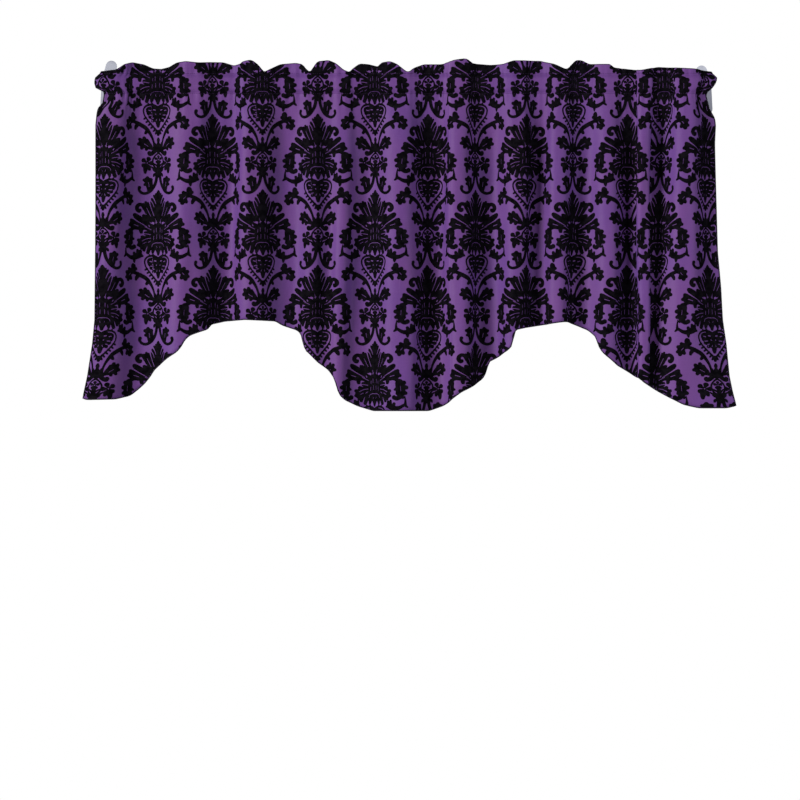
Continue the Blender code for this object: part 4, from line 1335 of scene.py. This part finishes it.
# %% The pocket's stitches
STITCH_PITCH = 0.0032
STITCH_SHARE = 0.78            # thread seen on top, as a share of the pitch
THREAD_HALF = 0.00015
THREAD_SIDES = 5
STITCH_LIFT = 2.4              # height of a stitch's middle over the cloth, in thread radii
STITCH_STATIONS = np.array([-0.5, -0.3, 0.0, 0.3, 0.5])
STITCH_RISE = np.array([-0.2, 0.7, 1.0, 0.7, -0.2])
count = int(cloth_width / STITCH_PITCH)
middles = (np.arange(count) + 0.5) * STITCH_PITCH
lines = []
for height in (LOWER_STITCH, UPPER_STITCH):
    behind = 2 * np.interp(middles, columns, turn_line) + RUFFLE_PART * math.pi - height
    lines += [np.full(count, height), behind]
stitch_cloth = np.tile(middles, len(lines))[:, None] + STITCH_STATIONS * STITCH_PITCH * STITCH_SHARE
stitch_cloth = np.clip(stitch_cloth, 0, cloth_width)
stitch_climb = np.broadcast_to(np.concatenate(lines)[:, None], stitch_cloth.shape)
foot, normal = on_cloth(stitch_cloth.ravel(), stitch_climb.ravel(), SHEET_THICK / 2)
foot = foot.reshape(*stitch_cloth.shape, 3)
normal = normal.reshape(*stitch_cloth.shape, 3)
path = foot + normal * (STITCH_RISE * THREAD_HALF * STITCH_LIFT)[None, :, None]
stitches = tube_piece("pocket_stitches", path, normal, THREAD_HALF, THREAD_SIDES, violet_thread)
for piece in (edge_and_shade_line, stitches):
    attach(piece, "root")
print("stitches:", len(lines) * count)

# %% [markdown]
# ## Painted steel
#
# The rod is rolled from thin sheet and the brackets are pressed, both finished in a semi-gloss
# white enamel with a cold, bluish cast. The paint shows a fine orange peel and some dust, and is a
# little darker along its edges, in patches.

# %% Enamel on the rod and the brackets
def enamel(name, tone, dust_tone, edge_tone, roughness):
    """Semi-gloss enamel: a tone, greyer where dusty and darker along edges, with orange peel."""
    made, tree, shader = new_material(name)
    given = {"Vector": coordinate(tree, "Object"), "Patch Scale": 60.0}
    marks = add_node(tree, "Group", given, node_tree=paint_marks)
    colour = tinted(tree, tone, marks.outputs["Dust"], 0.35, dust_tone)
    set_inputs(tree, shader, {
        # the paint is darker along convex edges, in patches
        "Base Color": mixed(tree, marks.outputs["Darker Edges"], colour, edge_tone),
        "Roughness": math_node(tree, "MULTIPLY_ADD", marks.outputs["Dust"], 0.25, roughness),
        "Normal": bump(tree, marks.outputs["Peel"], 0.12, 0.0002)})
    return made


rod_paint = enamel("rod_enamel", tone=(0.78, 0.79, 0.83), dust_tone=(0.60, 0.60, 0.63),
                   edge_tone=(0.42, 0.42, 0.46), roughness=0.30)
plate_paint = enamel("bracket_enamel", tone=(0.70, 0.73, 0.83), dust_tone=(0.60, 0.64, 0.75),
                     edge_tone=(0.30, 0.30, 0.38), roughness=0.32)
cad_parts["curtain_rod"].material_slots[0].material = rod_paint
for name in ("bracket_left", "bracket_right"):
    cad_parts[name].material_slots[0].material = plate_paint
print("painted:", "curtain_rod", "bracket_left", "bracket_right")

# %% [markdown]
# ## What the cloth was cut from
#
# The flat cloth has its width and a longest length from hem to raw end. The scallops make the
# flat area smaller than the rectangle.

# %% [markdown]
# ## Floor, light and camera
#
# The valance hangs at the height of a window's head, so the floor lies far below it. One large
# soft light stands in front on the left and models the folds, a weak one fills from the right, and
# the room's pale air does the rest. The camera stands square in front, far off, with a long lens.

# %% Floor
FLOOR_DROP = 1.9
FLOOR_HALF = 3.0
floor_paint, tree, shader = new_material("pale_floor")
shader.inputs["Base Color"].default_value = (0.86, 0.86, 0.86, 1)
shader.inputs["Roughness"].default_value = 0.9
corners = [(-FLOOR_HALF, -FLOOR_HALF, -FLOOR_DROP), (FLOOR_HALF, -FLOOR_HALF, -FLOOR_DROP),
           (FLOOR_HALF, FLOOR_HALF, -FLOOR_DROP), (-FLOOR_HALF, FLOOR_HALF, -FLOOR_DROP)]
floor = add_piece("floor", corners, [(0, 1, 2, 3)], floor_paint)

# %% Lights and the room's air
def area_light(name, place, target, wide, tall, power, tint):
    """A rectangular area light at a place, turned to face a target."""
    lamp = bpy.data.lights.new(name, "AREA")
    lamp.shape = "RECTANGLE"
    lamp.size, lamp.size_y = wide, tall
    lamp.energy = power
    lamp.color = tint
    holder = bpy.data.objects.new(name, lamp)
    bpy.context.collection.objects.link(holder)
    holder.location = place
    aim = Vector(target) - Vector(place)
    holder.rotation_euler = aim.to_track_quat("-Z", "Y").to_euler()


area_light("key_light", place=(-9.8, -7.6, 2.2), target=(0, 0, -0.2),
           wide=4.0, tall=4.6, power=1290, tint=(1.0, 0.98, 0.97))
area_light("fill_light", place=(1.9, -1.5, -0.1), target=(0.3, 0, -0.2),
           wide=1.2, tall=1.2, power=14, tint=(0.95, 0.96, 1.0))

AIR_STRENGTH = 0.12            # the light of the room, where the eye sees plain white
world = bpy.data.worlds.new("pale_room")
bpy.context.scene.world = world
world.use_nodes = True
tree = world.node_tree
seen = tree.nodes["Background"]
set_inputs(tree, seen, {"Color": (1, 1, 1, 1), "Strength": 1.0})
air = add_node(tree, "Background", {"Color": (0.96, 0.97, 1.0, 1), "Strength": AIR_STRENGTH})
rays = add_node(tree, "LightPath", {})
chooser = add_node(tree, "MixShader", {0: rays.outputs["Is Camera Ray"], 1: air.outputs[0],
                                       2: seen.outputs[0]})
tree.links.new(chooser.outputs[0], tree.nodes["World Output"].inputs["Surface"])
bpy.context.scene.view_settings.view_transform = "Standard"

# %% Camera
CAMERA_AWAY = 8.0              # metres in front of the rod
VIEW_WIDE = 1.16               # metres seen across at the rod
CAMERA_ACROSS = -0.0094        # a little left of the rod's middle
CAMERA_HIGH = -0.4597          # and below it
SENSOR = 36.0                  # millimetres
camera_data = bpy.data.cameras.new("front_camera")
camera_data.sensor_width = SENSOR
camera_data.lens = SENSOR * CAMERA_AWAY / VIEW_WIDE
camera = bpy.data.objects.new("front_camera", camera_data)
bpy.context.collection.objects.link(camera)
camera.location = (CAMERA_ACROSS, -ROD_REACH - CAMERA_AWAY, CAMERA_HIGH)
camera.rotation_euler = (math.pi / 2, 0, 0)
bpy.context.scene.camera = camera
print("lens:", round(camera_data.lens, 1), "mm")
